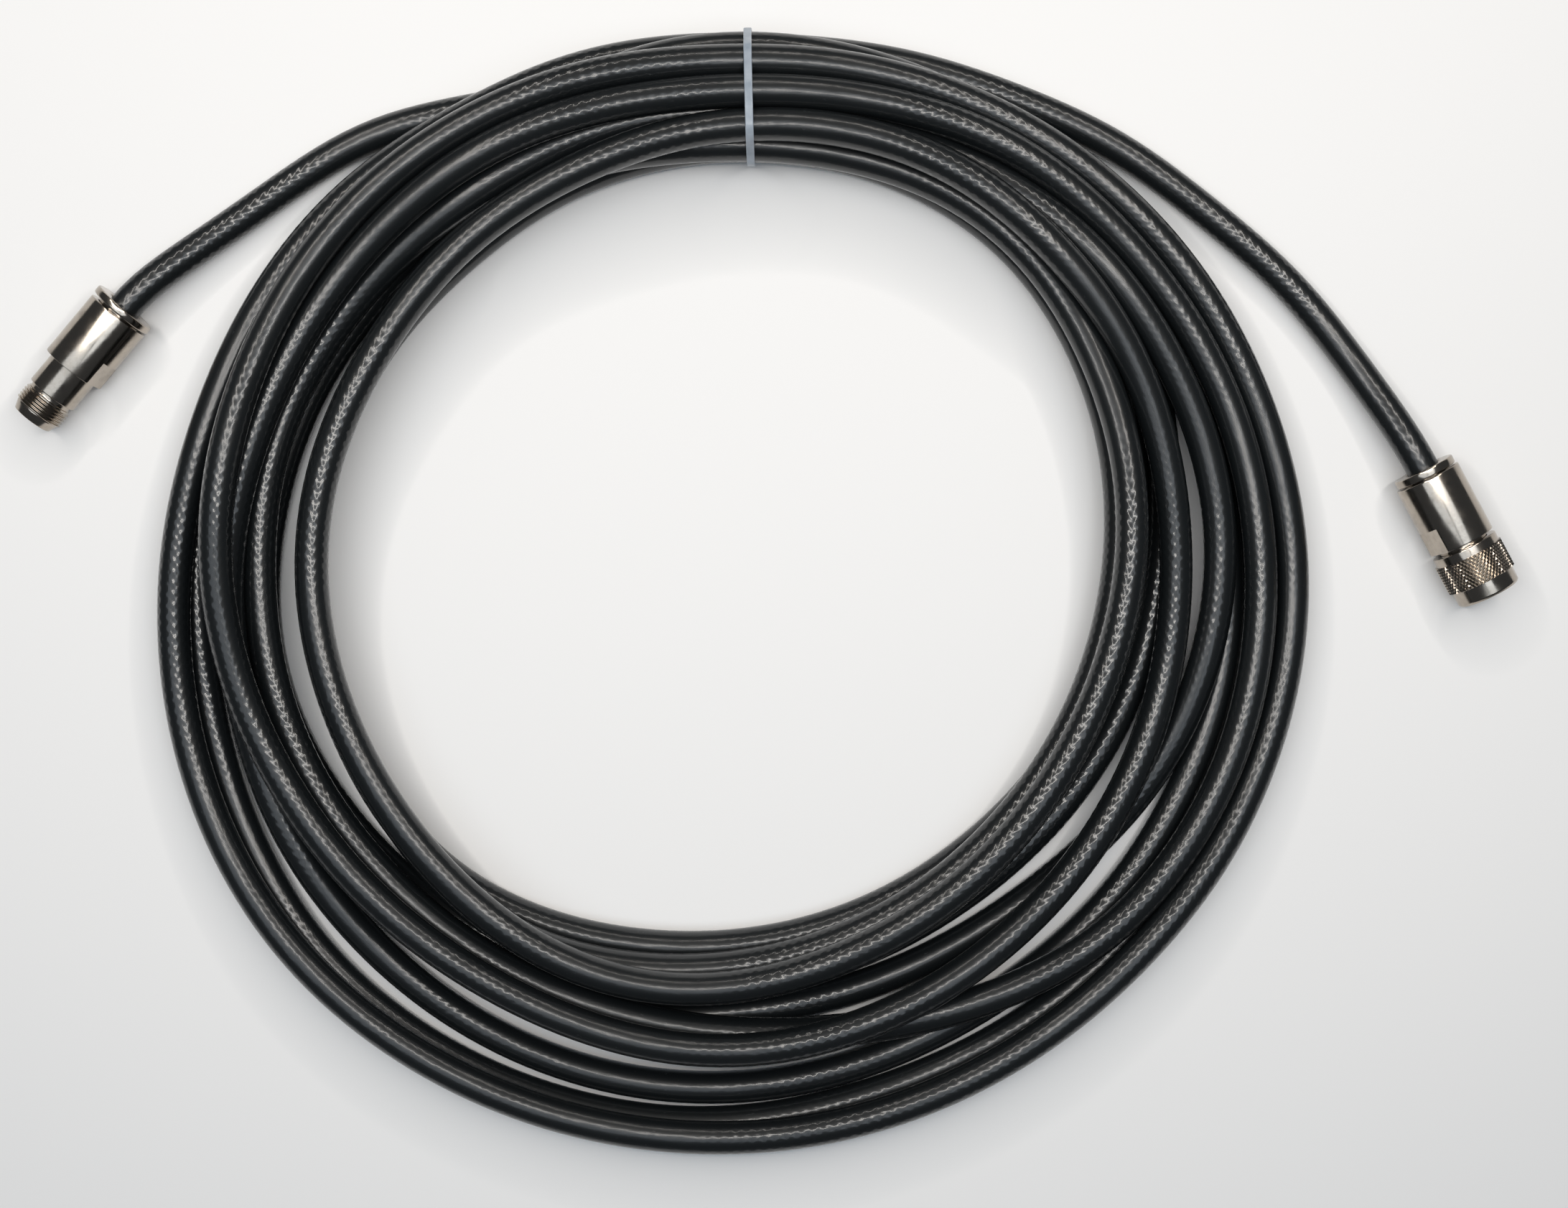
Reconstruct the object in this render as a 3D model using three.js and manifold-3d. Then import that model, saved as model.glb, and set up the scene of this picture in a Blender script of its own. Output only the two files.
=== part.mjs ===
// A ten metre coaxial jumper cable, wound into a flat coil that lies on the floor and held by one
// narrow tie. A threaded jack is on the inner end and a plug with a loose coupling nut on the outer
// end. Millimetres, +Z up. Bearings run clockwise from +Y, as on a compass seen from above. The origin
// is under the middle of the whole object, on the floor.
import * as THREE from 'three';
import { mergeVertices } from 'three/addons/utils/BufferGeometryUtils.js';
import Module from 'manifold-3d';

const wasm = await Module();
wasm.setup();

const TURN = 2 * Math.PI;
const DEGREE = Math.PI / 180;

// Fits
const TOUCH_GAP = 0.3;
const FLOOR_CLEARANCE = 0.2;
const STRAIGHT_CORNER = 1e-9;

// Cable
const CABLE_DIAMETER = 10.3;
const CABLE_SIDES = 12;
const CABLE_STEPS_PER_DIAMETER = 0.8;
const CABLE_IN_CONNECTOR = 11;

// Main sizes of the coil
const COIL_HOLE_RADIUS = 122;
const COIL_OUTER_RADIUS = 180;
const COIL_HEIGHT = 30;

// How far the hole, the outside and the top depart from those, one row for each 30 degrees of bearing
const COIL_ROWS = [
  [-0.5, -16.3, 9],
  [6.2, -11.5, 6],
  [5.3, -2.5, 0.5],
  [0, 7.3, 0],
  [-2, 10.2, 0.5],
  [-2, 10.5, 0],
  [0, 11, -0.5],
  [5.8, 10.6, 0],
  [1.3, 6.5, 0.5],
  [-1.4, -4.2, 2],
  [-4.7, -11.5, 1],
  [-3.5, -16.1, 8.5],
];
const COIL_SEGMENTS = 60;
const LIFT_HALF_ANGLE = 55 * DEGREE;

// Coil section: how high the turns of each row across the band stand, as shares of the coil's height
const CREST_HEIGHTS = [0.82, 1, 1, 0.94, 0.72];
const SHOULDER_DROP = 0.05;
const VALLEY_DROP = 0.15;
const UNDERSIDE_VALLEY = 0.1;
const SIDE_WAIST = 0.02;

// Cable tie
const TIE_WIDTH = 2.5;
const TIE_THICKNESS = 1.1;
const TIE_GAP = 0.5;
const TIE_HEAD_LENGTH = 5.4;
const TIE_HEAD_WIDTH = 4.8;
const TIE_HEAD_HEIGHT = 3.5;
const TIE_CUT_END = 0.5;
const TIE_OFFSET_X = 10.6;
const TIE_BEARING = -1.4 * DEGREE;

// Connector stations along each axis, measured from the rear face of the clamp nut
const CLAMP_SHANK_RADIUS = 7.4;
const CLAMP_SHANK_LENGTH = 9.9;
const CLAMP_RIM = 0.5;
const CABLE_CHAMBER_RADIUS = 5.6;
const CABLE_CHAMBER_LENGTH = 9;
const CONTACT_RADIUS = 1.5;
const CONTACT_TAIL = 6;
const FLAT_LENGTH = 8.2;
const FLATS_ACROSS = 17.8;
const ROUND_SIDES = 32;
const SMALL_SIDES = 20;

// Jack
const JACK_PLACE = [-188.8, 76.8];
const JACK_HEADING = -129.85 * DEGREE;
const JACK_RIM_RADIUS = 10.3;
const JACK_RIM_LENGTH = 2.6;
const JACK_BODY_RADIUS = 10.05;
const JACK_BODY_LENGTH = 22.5;
const JACK_BARREL_RADIUS = 8;
const JACK_BARREL_LENGTH = 10.5;
const JACK_RELIEF_RADIUS = 7;
const JACK_RELIEF_LENGTH = 1.4;
const JACK_THREAD_RADIUS = 7.94;
const JACK_THREAD_LENGTH = 6;
const JACK_NOSE_RADIUS = 6.3;
const JACK_NOSE_LENGTH = 2.7;
const JACK_MOUTH_RADIUS = 4.05;
const JACK_MOUTH_DEPTH = 9.1;
const JACK_CONTACT_RECESS = 4.1;
const JACK_CONTACT_HOLE_RADIUS = 0.83;
const JACK_CONTACT_HOLE_DEPTH = 7;
const JACK_INSULATOR_LENGTH = 8;
const JACK_FLAT_TILT = 8 * DEGREE;

// Plug
const PLUG_PLACE = [224.0, 25.7];
const PLUG_HEADING = -61.95 * DEGREE;
const PLUG_RIM_RADIUS = 9.75;
const PLUG_RIM_LENGTH = 2.7;
const PLUG_BODY_RADIUS = 10.35;
const PLUG_BODY_LENGTH = 23.5;
const PLUG_NECK_RADIUS = 7.6;
const PLUG_NECK_LENGTH = 5.2;
const PLUG_NUT_BACKLASH = 1.2;
const PLUG_SLEEVE_RADIUS = 4;
const PLUG_SLEEVE_WALL = 0.6;
const PLUG_SLEEVE_RECESS = 2;
const PLUG_PIN_RECESS = 1.4;
const PLUG_PIN_TIP_RADIUS = 0.8;
const PLUG_PIN_TIP_LENGTH = 5.2;
const PLUG_INSULATOR_LENGTH = 8;
const PLUG_FLAT_TILT = -13.5 * DEGREE;
const GASKET_LENGTH = 1.6;
const GASKET_RADIUS = 7.1;
const NUT_LENGTH = 17.4;
const NUT_BAND_RADIUS = 10.45;
const NUT_BAND_LENGTH = 2.7;
const NUT_KNURL_RADIUS = 10.92;
const NUT_KNURL_LENGTH = 9.5;
const NUT_FRONT_RADIUS = 10.05;
const NUT_CHAMFER = 0.7;
const NUT_BORE_RADIUS = 8;
const NUT_LIP_LENGTH = 1.5;
const RING_THICKNESS = 0.8;
const RING_DEPTH = 1;
const RING_OPENING = 3;

// The lead from the jack to where it goes under the coil: x, y and height of the cable's middle, and
// how far it runs free from the rear of the clamp nut
const JACK_LEAD = [
  [-177.6, 87.2, 9.0],
  [-168.0, 94.6, 7.2],
  [-157.9, 102.5, 5.9],
  [-146.3, 111.1, 5.4],
  [-132.1, 120.2, 5.3],
  [-108.7, 132.4, 5.3],
  [-88.0, 137.6, 5.3],
  [-74.1, 139.6, 5.4],
  [-56.0, 140.6, 5.8],
];
const JACK_LEAD_FREE = 93;

// The lead from the plug to where it comes out from under the coil, in the same way
const PLUG_LEAD = [
  [218.6, 35.6, 9.7],
  [213.0, 45.0, 7.8],
  [204.5, 57.1, 6.1],
  [193.0, 73.2, 5.4],
  [180.1, 87.8, 5.3],
  [156.7, 107.7, 5.3],
  [141.1, 118.4, 5.3],
  [127.7, 127.7, 5.3],
  [112.8, 134.5, 5.6],
  [98.7, 141.0, 6.1],
  [84.5, 146.3, 6.8],
  [70.3, 150.8, 7.5],
];
const PLUG_LEAD_FREE = 138;

const JACKET = { color: 0x15181a, roughness: 0.42, metalness: 0 };
const NICKEL = { color: 0xb9b2a2, roughness: 0.22, metalness: 1 };
const NYLON = { color: 0xaebccb, roughness: 0.4, metalness: 0 };
const RESIN = { color: 0xf1f0ea, roughness: 0.45, metalness: 0 };
const SILVER = { color: 0xd8cfae, roughness: 0.2, metalness: 1 };
const RUBBER = { color: 0x26211f, roughness: 0.7, metalness: 0 };

const cableRadius = CABLE_DIAMETER / 2;
const cableBoreRadius = cableRadius + TOUCH_GAP;

function closed(geometry) {
  const bare = geometry.index ? geometry.toNonIndexed() : geometry.clone();
  bare.deleteAttribute('normal');
  bare.deleteAttribute('uv');
  return mergeVertices(bare, 1e-4);
}

function toSolid(geometry) {
  const merged = closed(geometry);
  return new wasm.Manifold(new wasm.Mesh({
    numProp: 3,
    vertProperties: new Float32Array(merged.attributes.position.array),
    triVerts: new Uint32Array(merged.index.array),
  }));
}

function toGeometry(solid) {
  const mesh = solid.getMesh();
  const geometry = new THREE.BufferGeometry();
  geometry.setAttribute('position', new THREE.BufferAttribute(mesh.vertProperties, 3));
  geometry.setIndex(new THREE.BufferAttribute(mesh.triVerts, 1));
  geometry.computeVertexNormals();
  return geometry;
}

function named(name, geometry, look) {
  const mesh = new THREE.Mesh(closed(geometry), new THREE.MeshStandardMaterial(look));
  mesh.geometry.computeVertexNormals();
  mesh.name = name;
  return mesh;
}

// A turned piece along +X. The profile is a closed outline of [radius, station] corners, starting at
// the rear of the bore and running forward inside, then back outside.
function turned(profile, sides = ROUND_SIDES) {
  const points = profile.map(([radius, station]) => new THREE.Vector2(radius, station));
  if (points[0].x > 0) points.push(points[0].clone());
  return new THREE.LatheGeometry(points.reverse(), sides).rotateZ(-Math.PI / 2);
}

// Hole radius, outer radius or height at any bearing, smooth between the rows
function coilValue(column, bearing) {
  const main = [COIL_HOLE_RADIUS, COIL_OUTER_RADIUS, COIL_HEIGHT][column];
  const count = COIL_ROWS.length;
  const place = (((bearing / TURN) % 1) + 1) % 1 * count;
  const first = Math.floor(place);
  const share = place - first;
  const value = (step) => COIL_ROWS[(first + step + count) % count][column];
  const slopeIn = (value(1) - value(-1)) / 2;
  const slopeOut = (value(2) - value(0)) / 2;
  const square = share * share;
  const cube = square * share;
  return main + value(0) * (2 * cube - 3 * square + 1) + slopeIn * (cube - 2 * square + share)
    + value(1) * (3 * square - 2 * cube) + slopeOut * (cube - square);
}

// The tie's head lies under the coil and lifts it there
const tieLift = FLOOR_CLEARANCE + TIE_CUT_END + TIE_HEAD_HEIGHT + TIE_GAP;

function coilLift(bearing) {
  const away = Math.abs(((bearing + 3 * Math.PI) % TURN) - Math.PI);
  return away < LIFT_HALF_ANGLE ? tieLift * Math.cos(away / LIFT_HALF_ANGLE * Math.PI / 2) ** 2 : 0;
}

// One section of the coil on a unit square: u runs from the hole outwards and v upwards
function coilSection() {
  const rows = CREST_HEIGHTS.length;
  const top = [];
  const underside = [];
  CREST_HEIGHTS.forEach((crest, row) => {
    const next = CREST_HEIGHTS[row + 1] ?? crest;
    top.push([(row + 0.22) / rows, crest - SHOULDER_DROP]);
    top.push([(row + 0.5) / rows, crest]);
    top.push([(row + 0.78) / rows, crest - SHOULDER_DROP]);
    underside.push([(row + 0.25) / rows, 0], [(row + 0.75) / rows, 0]);
    if (row < rows - 1) {
      top.push([(row + 1) / rows, Math.min(crest, next) - VALLEY_DROP]);
      underside.push([(row + 1) / rows, UNDERSIDE_VALLEY]);
    }
  });
  const side = (u, inwards, crest) => [
    [u, crest - VALLEY_DROP],
    [u + inwards * SIDE_WAIST, crest * 0.5],
    [u, crest * 0.25],
    [u + inwards * 2 * SIDE_WAIST, UNDERSIDE_VALLEY / 2],
  ];
  const outside = side(1, -1, CREST_HEIGHTS.at(-1));
  const inside = side(0, 1, CREST_HEIGHTS[0]);
  return [...top, ...outside, ...underside.reverse(), ...inside.reverse()];
}

function coilPoint([u, v], bearing) {
  const inner = coilValue(0, bearing);
  const outer = coilValue(1, bearing);
  const lift = coilLift(bearing);
  const radius = inner + (outer - inner) * u;
  return { radius, height: lift + (coilValue(2, bearing) - lift) * v };
}

// A turned ring on a unit hole, whose corners are then carried out to the coil's real outline
function coilRing() {
  const profile = coilSection().map(([u, v]) => new THREE.Vector2(1 + u, v));
  profile.push(profile[0].clone());
  const ring = new THREE.LatheGeometry(profile.reverse(), COIL_SEGMENTS).rotateX(Math.PI / 2);
  const corner = ring.attributes.position;
  for (let i = 0; i < corner.count; i += 1) {
    const x = corner.getX(i);
    const y = corner.getY(i);
    const bearing = Math.atan2(x, y);
    const { radius, height } = coilPoint([Math.hypot(x, y) - 1, corner.getZ(i)], bearing);
    corner.setXYZ(i, radius * Math.sin(bearing), radius * Math.cos(bearing), height);
  }
  return ring;
}

// A stretch of a longer curve, between two shares of its length
class Stretch extends THREE.Curve {
  constructor(whole, from, to) {
    super();
    this.whole = whole;
    this.from = from;
    this.to = to;
  }

  getPoint(share, target = new THREE.Vector3()) {
    return this.whole.getPointAt(this.from + (this.to - this.from) * share, target);
  }
}

function cableTube(curve) {
  const round = new THREE.Shape();
  for (let side = 0; side < CABLE_SIDES; side += 1) {
    const angle = side / CABLE_SIDES * TURN;
    const corner = [cableRadius * Math.cos(angle), cableRadius * Math.sin(angle)];
    if (side === 0) round.moveTo(...corner);
    else round.lineTo(...corner);
  }
  const steps = Math.ceil(curve.getLength() / CABLE_DIAMETER * CABLE_STEPS_PER_DIAMETER);
  return new THREE.ExtrudeGeometry(round, { steps, bevelEnabled: false, extrudePath: curve });
}

// The lead starts inside its connector, leaves it straight and then follows its chosen points
function leadCurve([x, y], heading, height, points) {
  const along = (station) => new THREE.Vector3(
    x + station * Math.cos(heading), y + station * Math.sin(heading), height);
  const start = [along(CABLE_IN_CONNECTOR), along(CABLE_IN_CONNECTOR / 2), along(0), along(-3)];
  const rest = points.map((point) => new THREE.Vector3(...point));
  return new THREE.CatmullRomCurve3([...start, ...rest], false, 'centripetal');
}

// Splits a lead where it comes clear of the coil: its free stretch, and the stretch the coil keeps
function splitLead(curve, free) {
  const length = curve.getLength();
  const end = CABLE_IN_CONNECTOR + free;
  return {
    free: cableTube(new Stretch(curve, 0, end / length)),
    kept: cableTube(new Stretch(curve, (end + TOUCH_GAP) / length, 1)),
  };
}

function convexHull(points) {
  const sorted = [...points].sort((a, b) => a[0] - b[0] || a[1] - b[1]);
  const turns = (a, b, c) => (b[0] - a[0]) * (c[1] - a[1]) - (b[1] - a[1]) * (c[0] - a[0]);
  const half = (list) => {
    const chain = [];
    for (const point of list) {
      while (chain.length > 1 && turns(chain.at(-2), chain.at(-1), point) <= STRAIGHT_CORNER) chain.pop();
      chain.push(point);
    }
    return chain.slice(0, -1);
  };
  return [...half(sorted), ...half(sorted.reverse())];
}

// Moves every side of a convex outline outwards by the same distance
function grown(outline, distance) {
  const count = outline.length;
  const line = (i) => {
    const [ax, ay] = outline[i];
    const [bx, by] = outline[(i + 1) % count];
    const length = Math.hypot(bx - ax, by - ay);
    const normal = [(by - ay) / length, (ax - bx) / length];
    return { normal, reach: normal[0] * ax + normal[1] * ay + distance };
  };
  return outline.map((_, i) => {
    const before = line((i + count - 1) % count);
    const after = line(i);
    const cross = before.normal[0] * after.normal[1] - before.normal[1] * after.normal[0];
    return [
      (before.reach * after.normal[1] - after.reach * before.normal[1]) / cross,
      (after.reach * before.normal[0] - before.reach * after.normal[0]) / cross,
    ];
  });
}

function drawn(outline, target) {
  outline.forEach(([x, y], i) => (i === 0 ? target.moveTo(x, y) : target.lineTo(x, y)));
  return target;
}

// The strap goes round the coil's section in an upright plane; its head and cut end are underneath
function cableTie() {
  const bearing = Math.atan2(TIE_OFFSET_X, coilValue(0, 0));
  const section = coilSection().map((corner) => {
    const { radius, height } = coilPoint(corner, bearing);
    return [radius * Math.cos(bearing), height];
  });
  const hull = convexHull(section);
  const strap = drawn(grown(hull, TIE_GAP + TIE_THICKNESS), new THREE.Shape());
  strap.holes.push(drawn(grown(hull, TIE_GAP), new THREE.Path()));
  const loop = new THREE.ExtrudeGeometry(strap, { depth: TIE_WIDTH, bevelEnabled: false });
  loop.translate(0, 0, -TIE_WIDTH / 2);
  const middle = (Math.min(...hull.map(([u]) => u)) + Math.max(...hull.map(([u]) => u))) / 2;
  const underside = Math.min(...hull.map(([, v]) => v)) - TIE_GAP;
  const head = new THREE.BoxGeometry(TIE_HEAD_LENGTH, TIE_HEAD_HEIGHT, TIE_HEAD_WIDTH);
  head.translate(middle, underside - TIE_HEAD_HEIGHT / 2, 0);
  const cutEnd = new THREE.BoxGeometry(TIE_THICKNESS, 2 * TIE_CUT_END, TIE_WIDTH);
  cutEnd.translate(middle, underside - TIE_HEAD_HEIGHT, 0);
  const whole = toSolid(loop).add(toSolid(head)).add(toSolid(cutEnd));
  const tie = toGeometry(whole).rotateX(Math.PI / 2);
  tie.rotateZ(Math.PI / 2 - TIE_BEARING);
  return tie.translate(TIE_OFFSET_X + coilValue(0, 0) * Math.tan(-TIE_BEARING), 0, 0);
}

// The clamp nut screws into the rear of a connector and grips the cable
function clampNut(rimRadius, rimLength) {
  return turned([
    [cableBoreRadius, 0],
    [cableBoreRadius, rimLength + CLAMP_SHANK_LENGTH],
    [CLAMP_SHANK_RADIUS, rimLength + CLAMP_SHANK_LENGTH],
    [CLAMP_SHANK_RADIUS, rimLength],
    [rimRadius - CLAMP_RIM, rimLength],
    [rimRadius, rimLength - CLAMP_RIM],
    [rimRadius, CLAMP_RIM],
    [rimRadius - CLAMP_RIM, 0],
  ]);
}

// The bores behind the contact: the clamp nut's, then the cable's chamber
function rearBores(rear) {
  const clampEnd = rear + CLAMP_SHANK_LENGTH + TOUCH_GAP;
  return [
    [CLAMP_SHANK_RADIUS + TOUCH_GAP, rear],
    [CLAMP_SHANK_RADIUS + TOUCH_GAP, clampEnd],
    [CABLE_CHAMBER_RADIUS, clampEnd],
    [CABLE_CHAMBER_RADIUS, clampEnd + CABLE_CHAMBER_LENGTH],
  ];
}

// Two opposite wrench flats, cut over the last stretch of the body
function withFlats(geometry, bodyEnd, bodyRadius, tilt) {
  let solid = toSolid(geometry);
  const depth = bodyRadius;
  for (const side of [1, -1]) {
    const block = new THREE.BoxGeometry(FLAT_LENGTH, depth, 4 * bodyRadius);
    block.translate(bodyEnd - FLAT_LENGTH / 2, side * (FLATS_ACROSS / 2 + depth / 2), 0);
    solid = solid.subtract(toSolid(block.rotateX(tilt)));
  }
  return toGeometry(solid);
}

const jackRear = JACK_RIM_LENGTH + TOUCH_GAP;
const jackBodyEnd = jackRear + JACK_BODY_LENGTH;
const jackBarrelEnd = jackBodyEnd + JACK_BARREL_LENGTH;
const jackThreadStart = jackBarrelEnd + JACK_RELIEF_LENGTH;
const jackThreadEnd = jackThreadStart + JACK_THREAD_LENGTH;
const jackFront = jackThreadEnd + JACK_NOSE_LENGTH;
const jackBeadFront = jackFront - JACK_MOUTH_DEPTH;
const jackContactFront = jackFront - JACK_CONTACT_RECESS;

function jackBody() {
  const bores = rearBores(jackRear);
  const chamberEnd = bores.at(-1)[1];
  const body = turned([
    ...bores,
    [JACK_MOUTH_RADIUS, chamberEnd],
    [JACK_MOUTH_RADIUS, jackFront],
    [JACK_NOSE_RADIUS, jackFront],
    [JACK_THREAD_RADIUS, jackThreadEnd],
    [JACK_THREAD_RADIUS, jackThreadStart],
    [JACK_RELIEF_RADIUS, jackThreadStart],
    [JACK_RELIEF_RADIUS, jackBarrelEnd],
    [JACK_BARREL_RADIUS, jackBarrelEnd],
    [JACK_BARREL_RADIUS, jackBodyEnd],
    [JACK_BODY_RADIUS, jackBodyEnd],
    [JACK_BODY_RADIUS, jackRear],
  ]);
  return withFlats(body, jackBodyEnd, JACK_BODY_RADIUS, JACK_FLAT_TILT);
}

// A round insulator bead that holds the contact in the middle of the bore
function bead(radius, front, length) {
  return turned([
    [CONTACT_RADIUS + TOUCH_GAP, front - length],
    [CONTACT_RADIUS + TOUCH_GAP, front],
    [radius, front],
    [radius, front - length],
  ], SMALL_SIDES);
}

function jackContact() {
  const rear = jackBeadFront - JACK_INSULATOR_LENGTH - CONTACT_TAIL;
  return turned([
    [0, rear],
    [0, jackContactFront - JACK_CONTACT_HOLE_DEPTH],
    [JACK_CONTACT_HOLE_RADIUS, jackContactFront - JACK_CONTACT_HOLE_DEPTH],
    [JACK_CONTACT_HOLE_RADIUS, jackContactFront],
    [CONTACT_RADIUS, jackContactFront],
    [CONTACT_RADIUS, rear],
    [0, rear],
  ], SMALL_SIDES);
}

const plugRear = PLUG_RIM_LENGTH + TOUCH_GAP;
const plugBodyEnd = plugRear + PLUG_BODY_LENGTH;
const nutRear = plugBodyEnd + PLUG_NUT_BACKLASH;
const nutFront = nutRear + NUT_LENGTH;
const ringRear = nutRear + NUT_LIP_LENGTH + TOUCH_GAP;
const ringFront = ringRear + RING_THICKNESS;
const ringInner = PLUG_NECK_RADIUS - RING_DEPTH + TOUCH_GAP;
const nutLipRadius = PLUG_NECK_RADIUS + TOUCH_GAP;
const ringOuter = nutLipRadius + RING_DEPTH - TOUCH_GAP;
const neckFront = plugBodyEnd + PLUG_NECK_LENGTH;
const sleeveFront = nutFront - PLUG_SLEEVE_RECESS;
const pinFront = nutFront - PLUG_PIN_RECESS;
const sleeveBore = PLUG_SLEEVE_RADIUS - PLUG_SLEEVE_WALL;
const plugBeadFront = sleeveFront - JACK_MOUTH_DEPTH;

function plugBody() {
  const bores = rearBores(plugRear);
  const chamberEnd = bores.at(-1)[1];
  const grooveRadius = PLUG_NECK_RADIUS - RING_DEPTH;
  const body = turned([
    ...bores,
    [sleeveBore, chamberEnd],
    [sleeveBore, sleeveFront],
    [PLUG_SLEEVE_RADIUS, sleeveFront],
    [PLUG_SLEEVE_RADIUS, neckFront],
    [PLUG_NECK_RADIUS, neckFront],
    [PLUG_NECK_RADIUS, ringFront + TOUCH_GAP],
    [grooveRadius, ringFront + TOUCH_GAP],
    [grooveRadius, ringRear - TOUCH_GAP],
    [PLUG_NECK_RADIUS, ringRear - TOUCH_GAP],
    [PLUG_NECK_RADIUS, plugBodyEnd],
    [PLUG_BODY_RADIUS, plugBodyEnd],
    [PLUG_BODY_RADIUS, plugRear],
  ]);
  return withFlats(body, plugBodyEnd, PLUG_BODY_RADIUS, PLUG_FLAT_TILT);
}

function couplingNut() {
  const bandEnd = nutRear + NUT_BAND_LENGTH;
  const knurlEnd = bandEnd + NUT_KNURL_LENGTH;
  const lipEnd = nutRear + NUT_LIP_LENGTH;
  const grooveEnd = ringFront + TOUCH_GAP;
  const grooveRadius = ringOuter + TOUCH_GAP;
  return turned([
    [nutLipRadius, nutRear],
    [nutLipRadius, lipEnd],
    [grooveRadius, lipEnd],
    [grooveRadius, grooveEnd],
    [NUT_BORE_RADIUS, grooveEnd],
    [NUT_BORE_RADIUS, nutFront],
    [NUT_FRONT_RADIUS - NUT_CHAMFER, nutFront],
    [NUT_FRONT_RADIUS, nutFront - NUT_CHAMFER],
    [NUT_FRONT_RADIUS, knurlEnd],
    [NUT_KNURL_RADIUS, knurlEnd],
    [NUT_KNURL_RADIUS, bandEnd],
    [NUT_BAND_RADIUS, bandEnd],
    [NUT_BAND_RADIUS, nutRear],
  ]);
}

// The split spring ring that keeps the coupling nut on the body
function retainingRing() {
  const ring = turned([
    [ringInner, ringRear],
    [ringInner, ringFront],
    [ringOuter, ringFront],
    [ringOuter, ringRear],
  ]);
  const opening = new THREE.BoxGeometry(4 * RING_THICKNESS, 2 * ringOuter, RING_OPENING);
  opening.translate((ringRear + ringFront) / 2, ringOuter, 0);
  return toGeometry(toSolid(ring).subtract(toSolid(opening)));
}

function gasket() {
  const rear = neckFront + TOUCH_GAP;
  return turned([
    [PLUG_SLEEVE_RADIUS + TOUCH_GAP, rear],
    [PLUG_SLEEVE_RADIUS + TOUCH_GAP, rear + GASKET_LENGTH],
    [GASKET_RADIUS, rear + GASKET_LENGTH],
    [GASKET_RADIUS, rear],
  ], SMALL_SIDES);
}

function plugPin() {
  const rear = plugBeadFront - PLUG_INSULATOR_LENGTH - CONTACT_TAIL;
  const shoulder = pinFront - PLUG_PIN_TIP_LENGTH;
  return turned([
    [0, rear],
    [0, pinFront],
    [PLUG_PIN_TIP_RADIUS / 2, pinFront],
    [PLUG_PIN_TIP_RADIUS, pinFront - PLUG_PIN_TIP_RADIUS],
    [PLUG_PIN_TIP_RADIUS, shoulder],
    [CONTACT_RADIUS, shoulder],
    [CONTACT_RADIUS, rear],
    [0, rear],
  ], SMALL_SIDES);
}

function placed(pieces, [x, y], height, heading) {
  const connector = new THREE.Group();
  connector.position.set(x, y, height);
  connector.rotation.z = heading;
  connector.add(...pieces);
  return connector;
}

const jackHeight = Math.max(JACK_RIM_RADIUS, JACK_BODY_RADIUS);
const plugHeight = Math.max(NUT_KNURL_RADIUS, NUT_BAND_RADIUS, PLUG_BODY_RADIUS);
const jackLead = splitLead(leadCurve(JACK_PLACE, JACK_HEADING, jackHeight, JACK_LEAD), JACK_LEAD_FREE);
const plugLead = splitLead(leadCurve(PLUG_PLACE, PLUG_HEADING, plugHeight, PLUG_LEAD), PLUG_LEAD_FREE);
const coil = toSolid(coilRing()).add(toSolid(jackLead.kept)).add(toSolid(plugLead.kept));

const jack = placed([
  named('jack_clamp_nut', clampNut(JACK_RIM_RADIUS, JACK_RIM_LENGTH), NICKEL),
  named('jack_body', jackBody(), NICKEL),
  named('jack_insulator', bead(JACK_MOUTH_RADIUS - TOUCH_GAP, jackBeadFront, JACK_INSULATOR_LENGTH), RESIN),
  named('jack_contact', jackContact(), SILVER),
], JACK_PLACE, jackHeight, JACK_HEADING);

const plug = placed([
  named('plug_clamp_nut', clampNut(PLUG_RIM_RADIUS, PLUG_RIM_LENGTH), NICKEL),
  named('plug_body', plugBody(), NICKEL),
  named('plug_coupling_nut', couplingNut(), NICKEL),
  named('plug_retaining_ring', retainingRing(), NICKEL),
  named('plug_gasket', gasket(), RUBBER),
  named('plug_insulator', bead(sleeveBore - TOUCH_GAP, plugBeadFront, PLUG_INSULATOR_LENGTH), RESIN),
  named('plug_pin', plugPin(), SILVER),
], PLUG_PLACE, plugHeight, PLUG_HEADING);

const cable = new THREE.Group();
cable.add(
  named('cable_coil', toGeometry(coil), JACKET),
  named('cable_to_jack', jackLead.free, JACKET),
  named('cable_to_plug', plugLead.free, JACKET),
  named('cable_tie', cableTie(), NYLON),
  jack,
  plug,
);

// The origin goes under the middle of the whole object
cable.updateMatrixWorld(true);
const extent = new THREE.Box3().setFromObject(cable, true);
const middle = extent.getCenter(new THREE.Vector3());
cable.position.set(-middle.x, -middle.y, -extent.min.z);
cable.updateMatrixWorld(true);

export default cable;
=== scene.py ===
"""A ten metre coaxial jumper cable, wound into a flat coil that lies on the floor, with one narrow tie.

Sizes are millimetres and become metres where a mesh is finished. The coil's middle is the origin of the
plan, and bearings run clockwise from +Y about it, as on a compass seen from above. A connector's
stations run forwards along its axis from the rear face of its clamp nut.
"""
import math

import bpy
import bmesh
import numpy as np
from mathutils import Matrix, Vector


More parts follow.
